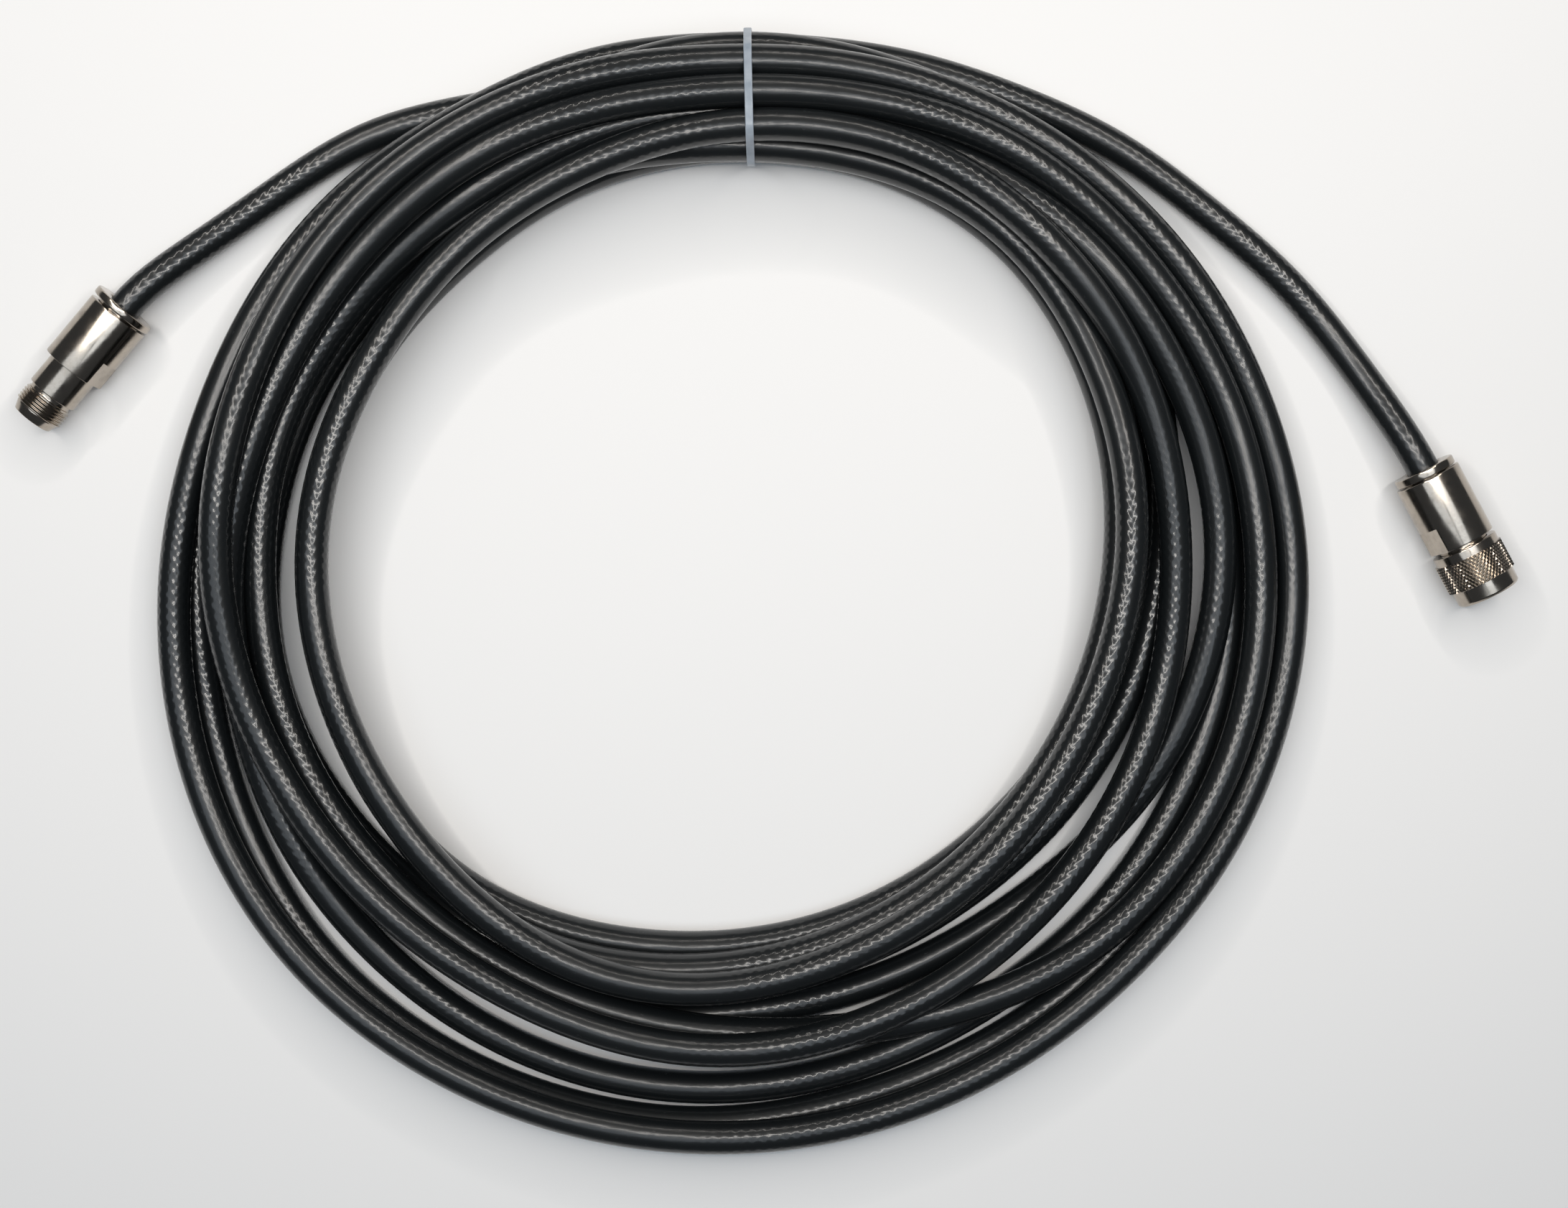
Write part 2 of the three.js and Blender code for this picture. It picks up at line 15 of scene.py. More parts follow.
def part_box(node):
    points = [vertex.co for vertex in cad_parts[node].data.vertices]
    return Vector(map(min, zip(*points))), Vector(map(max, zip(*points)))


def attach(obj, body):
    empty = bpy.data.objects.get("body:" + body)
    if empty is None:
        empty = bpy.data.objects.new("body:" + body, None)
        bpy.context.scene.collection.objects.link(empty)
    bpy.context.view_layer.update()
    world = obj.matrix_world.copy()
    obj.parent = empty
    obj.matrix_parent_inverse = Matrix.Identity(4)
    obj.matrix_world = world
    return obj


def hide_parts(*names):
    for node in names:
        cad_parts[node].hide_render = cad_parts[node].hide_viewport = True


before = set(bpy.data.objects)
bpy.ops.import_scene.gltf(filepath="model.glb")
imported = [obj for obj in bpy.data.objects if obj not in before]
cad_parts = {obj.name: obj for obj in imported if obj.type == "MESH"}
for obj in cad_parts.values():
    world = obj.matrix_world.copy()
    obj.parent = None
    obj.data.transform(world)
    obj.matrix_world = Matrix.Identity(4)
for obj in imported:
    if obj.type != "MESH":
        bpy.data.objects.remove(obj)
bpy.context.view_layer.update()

MM = 0.001
TURN = 2 * math.pi

# The photograph: its size, its scale on the plane at the cable's middle, and where it was taken from
PHOTO_SIZE = (2184, 1682)
PIXELS_PER_MM = 4.375
SEEN_HEIGHT = 10.0
CAMERA_HEIGHT = 650.0
CAMERA_FROM_COIL = (21.0, -17.4)
SENSOR_WIDTH = 36.0

# The cable, as in the part's source
CABLE_DIAMETER = 10.3
CABLE_IN_CONNECTOR = 11.0
JACK_PLACE = (-188.8, 76.8)
JACK_HEADING = math.radians(-129.85)
JACK_HEIGHT = 10.3
PLUG_PLACE = (224.0, 25.7)
PLUG_HEADING = math.radians(-61.95)
PLUG_HEIGHT = 10.92
JACK_LEAD = [
    (-177.6, 87.2, 9.0), (-168.0, 94.6, 7.2), (-157.9, 102.5, 5.9), (-146.3, 111.1, 5.4),
    (-132.1, 120.2, 5.3),
]
PLUG_LEAD = [
    (156.7, 107.7, 5.3), (180.1, 87.8, 5.3), (193.0, 73.2, 5.4), (204.5, 57.1, 6.1),
    (213.0, 45.0, 7.8), (218.6, 35.6, 9.7),
]

# Each turn of the coil from the inside end outwards: where its middle is seen every 15 degrees, as a
# radius on the plane at SEEN_HEIGHT, and how many other turns lie under it there. A turn that passes
# out of sight under others is given a place where there is room for it.
TURNS = [
    ((148.6, 147, 144.5, 141, 137.4, 134.2, 131.7, 129.4, 126.4, 124.8, 124.5, 125.1, 126.3, 128.9,
      132.6, 134.4, 132.1, 130.7, 129.4, 127.3, 125.5, 123.7, 124.9, 126.6), "001110000000000000000000"),
    ((128.2, 130.9, 133.6, 134.7, 133, 130.6, 128, 126.2, 125.8, 126.4, 128.2, 130.5, 133.3, 136.5,
      138.7, 134.6, 131.9, 130.6, 129.5, 127.5, 125.8, 127.1, 132.6, 136.7), "000000111111111111111100"),
    ((138.5, 141.3, 145.1, 149.7, 154.5, 158.9, 162.3, 165, 166.4, 167.4, 167.5, 169.6, 171.2, 171,
      169.1, 166.2, 162.5, 157.9, 154.7, 151.5, 149, 147.8, 146.7, 146.1), "000000000000000012222223"),
    ((145.9, 149.5, 155.3, 159.9, 164.2, 168.9, 172.5, 175.3, 176.7, 173.9, 166.2, 157.9, 153.4, 150.7,
      149.3, 148.7, 148.5, 148, 147.1, 144.8, 141, 138.3, 137.1, 137.6), "332222111110000011111122"),
    ((138.3, 142.2, 146.5, 150.4, 153.8, 157.7, 160, 158.9, 154.5, 149, 146.5, 146.3, 147, 150.9,
      154.3, 157.3, 158.6, 158.2, 155.9, 153.1, 150.9, 149.9, 152.7, 155.9), "112211110000000000000111"),
    ((158.6, 160, 161.1, 162.7, 165, 168.2, 171.4, 174.9, 177.6, 179.4, 179.4, 180.1, 182.4, 182.9,
      182.4, 180.3, 174.4, 168.5, 165.5, 162.7, 159.5, 154.3, 149.7, 147.4), "110000000000000000000000"),
    ((149, 149.9, 150.4, 149, 146.3, 143.1, 140.3, 138.7, 136.9, 135.2, 134.6, 136.5, 139.9, 142.6,
      145.1, 146.5, 147.7, 147.1, 143.7, 140.2, 136.6, 133.9, 132.1, 130.5), "111110000000000000000011"),
    ((129.1, 131.2, 135.1, 136.7, 135.2, 133.4, 131.7, 129.8, 129.5, 131, 133.3, 136.2, 139.9, 140.8,
      138.1, 134.2, 131.7, 130.4, 129.4, 127.5, 125.7, 126.2, 128, 130.7), "111111122222222222222222"),
    ((134.6, 138.7, 142.5, 144, 144.7, 145.3, 145.6, 147.7, 150.2, 152.7, 155.7, 158.6, 159.5, 157.6,
      155.7, 155.8, 156.6, 158.6, 160, 159.5, 159.1, 158.6, 157.3, 155.4), "222221111122111122222222"),
    ((154.7, 158.2, 163.2, 168.2, 173.4, 177.7, 182.5, 184.9, 185.4, 185.5, 186.3, 187.1, 187.2, 187.2,
      187, 186.1, 182.6, 177.4, 171.9, 167, 164.6, 162.3, 158.6, 157.5), "222111001111111111111111"),
]
LEAD_IN = [(-40, 172.1), (-32.7, 163), (-28, 157.9), (-20, 152.2), (-12, 149)]
LEAD_OUT = [(0, 158.6), (5, 159.3), (15, 162.1), (25, 166.4), (35, 172.1), (45, 180.6)]
# Stretches of bearing, counted on through the turns, where the cable can't be seen
HIDDEN = [(-26, -8), (8, 130), (675, 712), (728, 815), (1438, 1468), (1622, 1918), (2062, 2250),
          (2317, 2413), (2505, 2512)]
NODE_STEP = 5
LAYER_RISE = 9.0
TIE_LIFT = 4.7
TIE_LIFT_REACH = 50.0

# How the turns are let settle under their own weight, as shares of a step's whole move
SETTLE_STEPS = 700
PUSHES_PER_STEP = 5
SINK = 0.3
SINK_AT_LAST = 0.15
BEND_UP = 0.5
BEND_ACROSS = 0.3
FIRM_BEND = 0.7
HOLD_UNSEEN = 0.02
HOLD_SEEN = 0.25
PUSH_ACROSS = 0.3
PUSH_UP = 0.5

# The cable's mesh
RING_STEP = 5.0
RING_SIDES = 40
CURVE_PARTS = 12
EASING_PASSES = 240

# Cable tie
TIE_WIDTH = 2.5
TIE_THICKNESS = 1.1
TIE_SLACK = 0.1
TIE_OFFSET_X = 13.57
TIE_BEARING = math.radians(-1.4)
TIE_HEAD_SIZE = (5.4, 4.8, 3.5)
TIE_CUT_END = 0.5
TIE_EDGE_INSIDE = 0.15
TIE_EDGE_OUTSIDE = 0.3
TIE_STEP = 1.2
TIE_TURN_SIDES = 48
TIE_HEAD_ROUNDING = 0.5
TIE_HEAD_WALL = 0.7
TIE_HEAD_RECESS = 0.6

cable_radius = CABLE_DIAMETER / 2


# The frame

def direction(heading):
    return np.array((math.cos(heading), math.sin(heading)))


def coil_middle():
    """The coil's middle in the part's frame, worked out from where the jack's insulator is."""
    insulator_station = 32.9
    low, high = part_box("jack_insulator")
    middle = np.array((low.x + high.x, low.y + high.y)) / 2 / MM
    return middle - np.array(JACK_PLACE) - insulator_station * direction(JACK_HEADING)


COIL_MIDDLE = coil_middle()


def in_part(points):
    """Points given from the coil's middle, in the part's frame."""
    return np.asarray(points, float) + (*COIL_MIDDLE, 0)


def connector_frame(place, heading, height):
    """Takes a connector's own millimetres, with X along its axis, to the part's frame in metres."""
    origin = Vector(in_part((*place, height))) * MM
    return Matrix.Translation(origin) @ Matrix.Rotation(heading, 4, "Z") @ Matrix.Scale(MM, 4)


COIL_FRAME = Matrix.Translation(Vector((*COIL_MIDDLE, 0)) * MM) @ Matrix.Scale(MM, 4)
JACK_FRAME = connector_frame(JACK_PLACE, JACK_HEADING, JACK_HEIGHT)
PLUG_FRAME = connector_frame(PLUG_PLACE, PLUG_HEADING, PLUG_HEIGHT)


# The camera looks straight down

def make_camera():
    data = bpy.data.cameras.new("camera")
    data.sensor_width = SENSOR_WIDTH
    data.lens = SENSOR_WIDTH * PIXELS_PER_MM * (CAMERA_HEIGHT - SEEN_HEIGHT) / PHOTO_SIZE[0]
    data.clip_end = 20
    camera = bpy.data.objects.new("camera", data)
    bpy.context.scene.collection.objects.link(camera)
    camera.location = Vector(in_part((*CAMERA_FROM_COIL, CAMERA_HEIGHT))) * MM
    bpy.context.scene.camera = camera


# The cable's route

def lift_under_tie(bearings):
    """The tie's head lies under the coil and lifts the turns there."""
    away = np.abs((bearings + 180) % 360 - 180)
    return TIE_LIFT * np.cos(np.minimum(away / TIE_LIFT_REACH, 1) * math.pi / 2) ** 2


def below_camera(bearings):
    """How far out, along each bearing, the camera stands from the coil's middle."""
    angle = np.radians(bearings)
    return CAMERA_FROM_COIL[0] * np.sin(angle) + CAMERA_FROM_COIL[1] * np.cos(angle)


def real_radius(seen, bearings, heights):
    """Where a turn of this height really is, so that the camera sees it at the seen radius."""
    middle = below_camera(bearings)
    return middle + (seen - middle) * (CAMERA_HEIGHT - heights) / (CAMERA_HEIGHT - SEEN_HEIGHT)


def hermite(marks, values, places):
    """A smooth curve through unevenly spaced values, read at the places."""
    slope = np.gradient(values, marks)
    index = np.clip(np.searchsorted(marks, places, side="right") - 1, 0, len(marks) - 2)
    width = marks[index + 1] - marks[index]
    share = (places - marks[index]) / width
    square, cube = share ** 2, share ** 3
    return (values[index] * (2 * cube - 3 * square + 1)
            + slope[index] * width * (cube - 2 * square + share)
            + values[index + 1] * (3 * square - 2 * cube)
            + slope[index + 1] * width * (cube - square))


def guide_line():
    """Seen radius, layer and firmness at every node of the wound cable."""
    rows = [(bearing, radius, 0) for bearing, radius in LEAD_IN]
    for turn, (radii, layers) in enumerate(TURNS):
        step = 360 / len(radii)
        rows += [(360 * turn + step * i, radius, int(layer))
                 for i, (radius, layer) in enumerate(zip(radii, layers))]
    rows += [(360 * len(TURNS) + bearing, radius, 0) for bearing, radius in LEAD_OUT]
    marks, radii, layers = np.array(rows, float).T
    bearings = np.arange(marks[0], marks[-1] + 1, NODE_STEP)
    seen = hermite(marks, radii, bearings)
    firm = np.ones_like(bearings)
    for start, end in HIDDEN:
        firm[(bearings > start) & (bearings < end)] = 0
    firm[2:-2] = np.convolve(firm, np.array([1, 2, 3, 2, 1]) / 9, mode="valid")
    return bearings, seen, np.interp(bearings, marks, layers), firm


def push_apart(radii, heights, floor):
    """Turns that share a bearing and overlap there are pushed off each other."""
    per_turn = 360 // NODE_STEP
    for gap in range(per_turn, len(radii), per_turn):
        across = radii[gap:] - radii[:-gap]
        up = heights[gap:] - heights[:-gap]
        apart = np.maximum(np.hypot(across, up), MM)
        push = np.maximum(0, CABLE_DIAMETER - apart) / apart
        radii[:-gap] -= PUSH_ACROSS * push * across
        radii[gap:] += PUSH_ACROSS * push * across
        heights[:-gap] -= PUSH_UP * push * up
        heights[gap:] += PUSH_UP * push * up
    np.maximum(heights, floor, out=heights)


def settled_turns():
    """Places of every node from the coil's middle, once the turns lie on the floor and on each other."""
    bearings, seen, layers, firm = guide_line()
    floor = cable_radius + lift_under_tie(bearings)
    heights = floor + LAYER_RISE * layers
    radii = real_radius(seen, bearings, heights)
    for step in range(SETTLE_STEPS):
        heights -= SINK * (1 - (1 - SINK_AT_LAST) * step / SETTLE_STEPS)
        radii += (HOLD_UNSEEN + HOLD_SEEN * firm) * (real_radius(seen, bearings, heights) - radii)
        heights[1:-1] += BEND_UP * ((heights[:-2] + heights[2:]) / 2 - heights[1:-1])
        slack = BEND_ACROSS * (1 - FIRM_BEND * firm[1:-1])
        radii[1:-1] += slack * ((radii[:-2] + radii[2:]) / 2 - radii[1:-1])
        for _ in range(PUSHES_PER_STEP):
            push_apart(radii, heights, floor)
    angle = np.radians(bearings)
    return np.stack([radii * np.sin(angle), radii * np.cos(angle), heights], axis=1)


def smooth_curve(points, step):
    """A centripetal curve through the points, with a new point at every step of its length."""
    points = np.array(points, float)
    before = 2 * points[0] - points[1]
    after = 2 * points[-1] - points[-2]
    knots = np.vstack([before, points, after])
    gaps = np.sqrt(np.linalg.norm(np.diff(knots, axis=0), axis=1))
    fine = []
    share = np.linspace(0, 1, CURVE_PARTS, endpoint=False)[:, None]
    for i in range(1, len(knots) - 2):
        a, b, c, d = knots[i - 1:i + 3]
        first, middle, last = gaps[i - 1:i + 2]
        leave = (b - a) / first - (c - a) / (first + middle) + (c - b) / middle
        arrive = (c - b) / middle - (d - b) / (middle + last) + (d - c) / last
        leave, arrive = leave * middle, arrive * middle
        square, cube = share ** 2, share ** 3
        fine.append(b * (2 * cube - 3 * square + 1) + leave * (cube - 2 * square + share)
                    + c * (3 * square - 2 * cube) + arrive * (cube - square))
    fine = np.vstack(fine + [points[-1:]])
    travelled = np.concatenate([[0], np.cumsum(np.linalg.norm(np.diff(fine, axis=0), axis=1))])
    stops = np.linspace(0, travelled[-1], round(travelled[-1] / step) + 1)
    return np.stack([np.interp(stops, travelled, fine[:, axis]) for axis in range(3)], axis=1)


def eased(path):
    """Takes short kinks out of a path but keeps its long bends; it stays straight in the connectors."""
    for _ in range(EASING_PASSES):
        mean = (-path[:-4] + 4 * path[1:-3] + 10 * path[2:-2] + 4 * path[3:-1] - path[4:]) / 16
        path[4:-4] = mean[2:-2]
    return path


def connector_points(place, heading, height, stations):
    return [(*(np.array(place) + station * direction(heading)), height) for station in stations]


def cable_route():
    """The cable's middle line from inside the jack to inside the plug, from the coil's middle."""
    inside = (CABLE_IN_CONNECTOR, CABLE_IN_CONNECTOR / 2, 0, -3)
    start = connector_points(JACK_PLACE, JACK_HEADING, JACK_HEIGHT, inside)
    end = connector_points(PLUG_PLACE, PLUG_HEADING, PLUG_HEIGHT, reversed(inside))
    points = [*start, *JACK_LEAD, *settled_turns(), *PLUG_LEAD, *end]
    return eased(smooth_curve(points, RING_STEP))


# Nodes: sums of sockets are written as Python arithmetic

class Nodes:
    """Adds nodes to one tree. What it gives back can stand in sums, which add their Math nodes."""

    def __init__(self, tree):
        self.tree = tree

    def add(self, kind, sockets=None, output=0, **settings):
        """One node, with its settings and the values or links of its sockets."""
        node = self.tree.nodes.new(kind)
        for setting, value in settings.items():
            setattr(node, setting, value)
        for socket, value in (sockets or {}).items():
            self.join(node.inputs[socket], value)
        return Value(self, node.outputs[output])

    def join(self, socket, value):
        if isinstance(value, Value):
            self.tree.links.new(value.output, socket)
        else:
            socket.default_value = value

    def vector(self, x, y, z):
        return self.add("ShaderNodeCombineXYZ", {"X": x, "Y": y, "Z": z})


class Value:
    """One socket's result, which sums can use like a number."""

    def __init__(self, nodes, output):
        self.nodes = nodes
        self.output = output

    def math(self, operation, *values):
        return self.nodes.add("ShaderNodeMath", dict(enumerate(values)), operation=operation)

    def __add__(self, other):
        return self.math("ADD", self, other)

    def __sub__(self, other):
        return self.math("SUBTRACT", self, other)

    def __rsub__(self, other):
        return self.math("SUBTRACT", other, self)

    def __mul__(self, other):
        return self.math("MULTIPLY", self, other)

    def __truediv__(self, other):
        return self.math("DIVIDE", self, other)

    def __mod__(self, other):
        return self.math("FLOORED_MODULO", self, other)

    __radd__ = __add__
    __rmul__ = __mul__

    def cosine(self):
        return self.math("COSINE", self)

    def sine(self):
        return self.math("SINE", self)

    def floor(self):
        return self.math("FLOOR", self)

    def least(self, other):
        return self.math("MINIMUM", self, other)

    def most(self, other):
        return self.math("MAXIMUM", self, other)

    def part(self, axis):
        return self.nodes.add("ShaderNodeSeparateXYZ", {"Vector": self}, output=axis)


# Materials

def new_material(name, colour, roughness, metallic=0.0, **constants):
    """A material with plain values, and what adds nodes to it."""
    material = bpy.data.materials.new(name)
    material.use_nodes = True
    shader = material.node_tree.nodes["Principled BSDF"]
    shader.inputs["Base Color"].default_value = (*colour, 1)
    shader.inputs["Roughness"].default_value = roughness
    shader.inputs["Metallic"].default_value = metallic
    for socket, value in constants.items():
        shader.inputs[socket.replace("_", " ").title().replace("Ior", "IOR")].default_value = value
    return material, Nodes(material.node_tree), shader


def noise(nodes, place, scale, detail=2.0, roughness=0.5, **settings):
    return nodes.add("ShaderNodeTexNoise", {"Vector": place, "Scale": scale, "Detail": detail,
                                            "Roughness": roughness}, **settings)


def two_colours(nodes, share, first, second):
    return nodes.add("ShaderNodeMix", {"Factor": share, 6: (*first, 1), 7: (*second, 1)}, output=2,
                     data_type="RGBA")


def between(nodes, value, low, high, start=0.0, end=1.0):
    return nodes.add("ShaderNodeMapRange", {"Value": value, "From Min": low, "From Max": high,
                                            "To Min": start, "To Max": end})


def bump(nodes, shader, height):
    """Height is in metres."""
    nodes.join(shader.inputs["Normal"],
               nodes.add("ShaderNodeBump", {"Height": height, "Distance": 1.0, "Strength": 1.0}))


def object_place(nodes):
    return nodes.add("ShaderNodeTexCoord", output=3)


def connector_place(nodes, frame_matrix):
    """Places in a connector's own frame, in metres, with X along its axis."""
    return nodes.add("ShaderNodeMapping", {
        "Vector": object_place(nodes), "Location": frame_matrix.translation,
        "Rotation": frame_matrix.to_euler()}, vector_type="TEXTURE")


def jacket_material():
    """Black vinyl over a copper braid, whose crossing strands show through as faint ridges.

    The ridges come and go in patches. A second, duller skin gives the broad sheen."""
    black, scuff_grey = (0.0062, 0.0078, 0.0088), (0.05, 0.055, 0.06)
    strands, pitch, drift = 12, 0.0035, 0.05
    ridge_height, wander_height, grain_height = 0.00002, 0.00012, 0.0000025
    smooth, dull, scuff_dullness = 0.15, 0.24, 0.2
    material, nodes, shader = new_material(
        "black_vinyl", black, smooth, specular_ior_level=0.4, coat_weight=0.45, coat_roughness=0.42)
    map_place = nodes.add("ShaderNodeUVMap", uv_map="along")
    around, along = map_place.part(0), map_place.part(1)
    one_way = ((around * strands + along * ((1 + drift) / pitch)) * TURN).cosine()
    other_way = ((around * -strands + along * ((1 - drift) / pitch)) * TURN).cosine()
    lengthwise = nodes.vector((around * TURN).cosine(), (around * TURN).sine(), along * 60.0)
    patches = noise(nodes, object_place(nodes), 14, 3)
    pressed = between(nodes, patches, 0.4, 0.62)
    wander = noise(nodes, lengthwise, 2.2, 2)
    grain = noise(nodes, object_place(nodes), 2600, 2, 0.6)
    height = (one_way + other_way) * pressed * ridge_height
    height = height + wander * wander_height + grain * grain_height
    bump(nodes, shader, height)
    scuffs = noise(nodes, nodes.vector(around * 30.0, along * 220.0, 0.0), 1.0, 6, 0.7)
    scuffed = between(nodes, scuffs, 0.62, 0.78)
    nodes.join(shader.inputs["Roughness"],
               between(nodes, patches, 0.35, 0.65, dull, smooth) + scuffed * scuff_dullness)
    nodes.join(shader.inputs["Base Color"], two_colours(nodes, scuffed * 0.35, black, scuff_grey))
    return material


def nickel_material(name, frame_matrix, pits, rings):
    """Turned and plated brass. Pits and tool rings are heights in millimetres."""
    bright, stained = (0.43, 0.38, 0.325), (0.3096, 0.2736, 0.234)
    polished, worn = 0.10, 0.24
    waviness = 0.000004
    material, nodes, shader = new_material(name, bright, polished, metallic=1.0)
    place = connector_place(nodes, frame_matrix)
    tooling = nodes.add("ShaderNodeTexNoise", {"W": place.part(0), "Scale": 2600.0, "Detail": 3.0,
                                               "Roughness": 0.7}, noise_dimensions="1D")
    orange_peel = noise(nodes, place, 1500, 3, 0.6)
    coarse = noise(nodes, place, 260, 2)
    bump(nodes, shader, tooling * (rings * MM) + orange_peel * (pits * MM) + coarse * waviness)
    stain = noise(nodes, place, 190, 4, 0.65)
    nodes.join(shader.inputs["Roughness"], between(nodes, stain, 0.3, 0.7, polished, worn))
    nodes.join(shader.inputs["Base Color"],
               two_colours(nodes, between(nodes, stain, 0.45, 0.75), bright, stained))
    return material


def nylon_material():
    """Natural nylon: milky, a little see-through, with a smooth moulded skin."""
    dark, light = (0.26, 0.31, 0.37), (0.38, 0.43, 0.49)
    skin_height = 0.00003
    material, nodes, shader = new_material(
        "natural_nylon", light, 0.3, subsurface_weight=0.35, subsurface_scale=0.002)
    shader.inputs["Subsurface Radius"].default_value = (1.0, 1.0, 1.0)
    clouds = noise(nodes, object_place(nodes), 240, 3)
    bump(nodes, shader, clouds * skin_height)
    nodes.join(shader.inputs["Base Color"],
               two_colours(nodes, between(nodes, clouds, 0.3, 0.7), dark, light))
    return material


def resin_material():
    """The white insulators: a waxy resin."""
    white, whiter = (0.8, 0.79, 0.75), (0.86, 0.85, 0.82)
    skin_height = 0.000006
    material, nodes, shader = new_material("white_resin", white, 0.42)
    clouds = noise(nodes, object_place(nodes), 900, 2)
    bump(nodes, shader, clouds * skin_height)
    nodes.join(shader.inputs["Base Color"], two_colours(nodes, clouds, white, whiter))
    return material


def contact_material():
    """The gold plated centre contacts."""
    polished, worn = 0.13, 0.3
    wear_height = 0.000003
    material, nodes, shader = new_material("contact_plating", (0.83, 0.68, 0.4), polished, metallic=1.0)
    wear = noise(nodes, object_place(nodes), 1400, 4, 0.6)
    bump(nodes, shader, wear * wear_height)
    nodes.join(shader.inputs["Roughness"], between(nodes, wear, 0.3, 0.7, polished, worn))
    return material


def rubber_material():
    """The seal inside the plug."""
    smooth, dull = 0.5, 0.72
    grain_height = 0.00001
    material, nodes, shader = new_material("seal_rubber", (0.022, 0.02, 0.019), smooth)
    grain = noise(nodes, object_place(nodes), 3000, 2)
    bump(nodes, shader, grain * grain_height)
    nodes.join(shader.inputs["Roughness"], between(nodes, grain, 0.3, 0.7, smooth, dull))
    return material


# Meshes

def finish_piece(name, mesh, frame_matrix, body, slot, material=None, sharp=None, replaces=()):
    """Puts a mesh in its place in the part, in metres, as a piece that rides on its body."""
    mesh.transform(frame_matrix)
    mesh.shade_smooth()
    if sharp is not None:
        mesh.set_sharp_from_angle(angle=math.radians(sharp))
    if material is not None:
        mesh.materials.clear()
        mesh.materials.append(material)
    mesh.name = name
    piece = bpy.data.objects.new(name, mesh)
    bpy.context.scene.collection.objects.link(piece)
    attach(piece, body)
    if replaces:
        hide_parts(*replaces)
    return piece


def mesh_of(points, faces):
    mesh = bpy.data.meshes.new("mesh")
    mesh.from_pydata([tuple(point) for point in points], [], faces)
    return mesh


def outward(mesh):
    """Turns every face of its closed shells outwards."""
    shell = bmesh.new()
    shell.from_mesh(mesh)
    bmesh.ops.recalc_face_normals(shell, faces=shell.faces)
    shell.to_mesh(mesh)
    shell.free()
    return mesh


def softened(profile, steps=4):
    """A closed outline of (radius, station, rounding) corners, with each rounding as a short curve."""
    outline = []
    corners = [np.array(corner[:2], float) for corner in profile]
    for i, (_, _, rounding) in enumerate(profile):
        before, corner, after = corners[i - 1], corners[i], corners[(i + 1) % len(corners)]
        if rounding == 0:
            outline.append(corner)
            continue
        start = corner + rounding * (before - corner) / np.linalg.norm(before - corner)
        end = corner + rounding * (after - corner) / np.linalg.norm(after - corner)
        for share in np.linspace(0, 1, steps + 1):
            outline.append((1 - share) ** 2 * start + 2 * share * (1 - share) * corner
                           + share ** 2 * end)
    return outline


def round_angles(sides, corners=()):
    """Evenly spaced angles, with exact corners in place of their nearest neighbours."""
    even = np.arange(sides) * TURN / sides
    corners = np.array(corners) % TURN
    kept = [angle for angle in even
            if all(abs((angle - corner + math.pi) % TURN - math.pi) > 0.5 * TURN / sides
                   for corner in corners)]
    return np.sort(np.concatenate([kept, corners]))


def flattened(y, z, tilt, half_across):
    """Cuts two opposite flats, half_across from the axis, turned by tilt."""
    across = y * math.cos(tilt) + z * math.sin(tilt)
    level = z * math.cos(tilt) - y * math.sin(tilt)
    across = np.clip(across, -half_across, half_across)
    return (across * math.cos(tilt) - level * math.sin(tilt),
            across * math.sin(tilt) + level * math.cos(tilt))


def turned(profile, angles, flats=None, whole=True):
    """A turned solid along X. flats is (first station, last station, half across, tilt)."""
    points, rings = [], []
    for radius, station in softened(profile):
        if radius == 0:
            rings.append([len(points)] * len(angles))
            points.append((station, 0, 0))
            continue
        y, z = radius * np.cos(angles), radius * np.sin(angles)
        if flats and flats[0] <= station <= flats[1]:
            y, z = flattened(y, z, flats[3], flats[2])
        rings.append(range(len(points), len(points) + len(angles)))
        points += [(station, *pair) for pair in zip(y, z)]
    faces = []
    spans = len(angles) if whole else len(angles) - 1
    for ring, following in zip(rings, rings[1:] + rings[:1]):
        for i in range(spans):
            j = (i + 1) % len(angles)
            corners = dict.fromkeys((ring[i], ring[j], following[j], following[i]))
            if len(corners) > 2:
                faces.append(tuple(corners))
    if not whole:
        faces.append(tuple(ring[0] for ring in rings))
        faces.append(tuple(ring[-1] for ring in rings))
    return outward(mesh_of(points, faces))


def joined(meshes):
    shell = bmesh.new()
    for mesh in meshes:
        shell.from_mesh(mesh)
    whole = bpy.data.meshes.new("mesh")
    shell.to_mesh(whole)
    shell.free()
    return whole


def fingers(count, slot_width, outer, inner, start, end, lip=0.12):
    """A slotted spring tube: several closed strips side by side round the axis."""
    middle = (outer + inner) / 2
    half_gap = slot_width / 2 / middle
    strips = []
    for i in range(count):
        angles = np.linspace(i * TURN / count + half_gap, (i + 1) * TURN / count - half_gap, 12)
        strips.append(turned([(inner, start, 0), (inner, end, lip), (outer, end, lip),
                              (outer, start, 0)], angles, whole=False))
    return joined(strips)


# Threads and knurl, grown by node trees

def shape_tree(name, sizes):
    """An empty tree with one named input for each size; gives its nodes, the inputs and its end."""
    tree = bpy.data.node_groups.new(name, "GeometryNodeTree")
    tree.interface.new_socket("Geometry", in_out="OUTPUT", socket_type="NodeSocketGeometry")
    tree.interface.new_socket("Material", in_out="INPUT", socket_type="NodeSocketMaterial")
    for size in sizes:
        tree.interface.new_socket(size, in_out="INPUT", socket_type="NodeSocketFloat")
    nodes = Nodes(tree)
    start = tree.nodes.new("NodeGroupInput")
    inputs = {socket.name: Value(nodes, socket) for socket in start.outputs if socket.name}
    return nodes, inputs


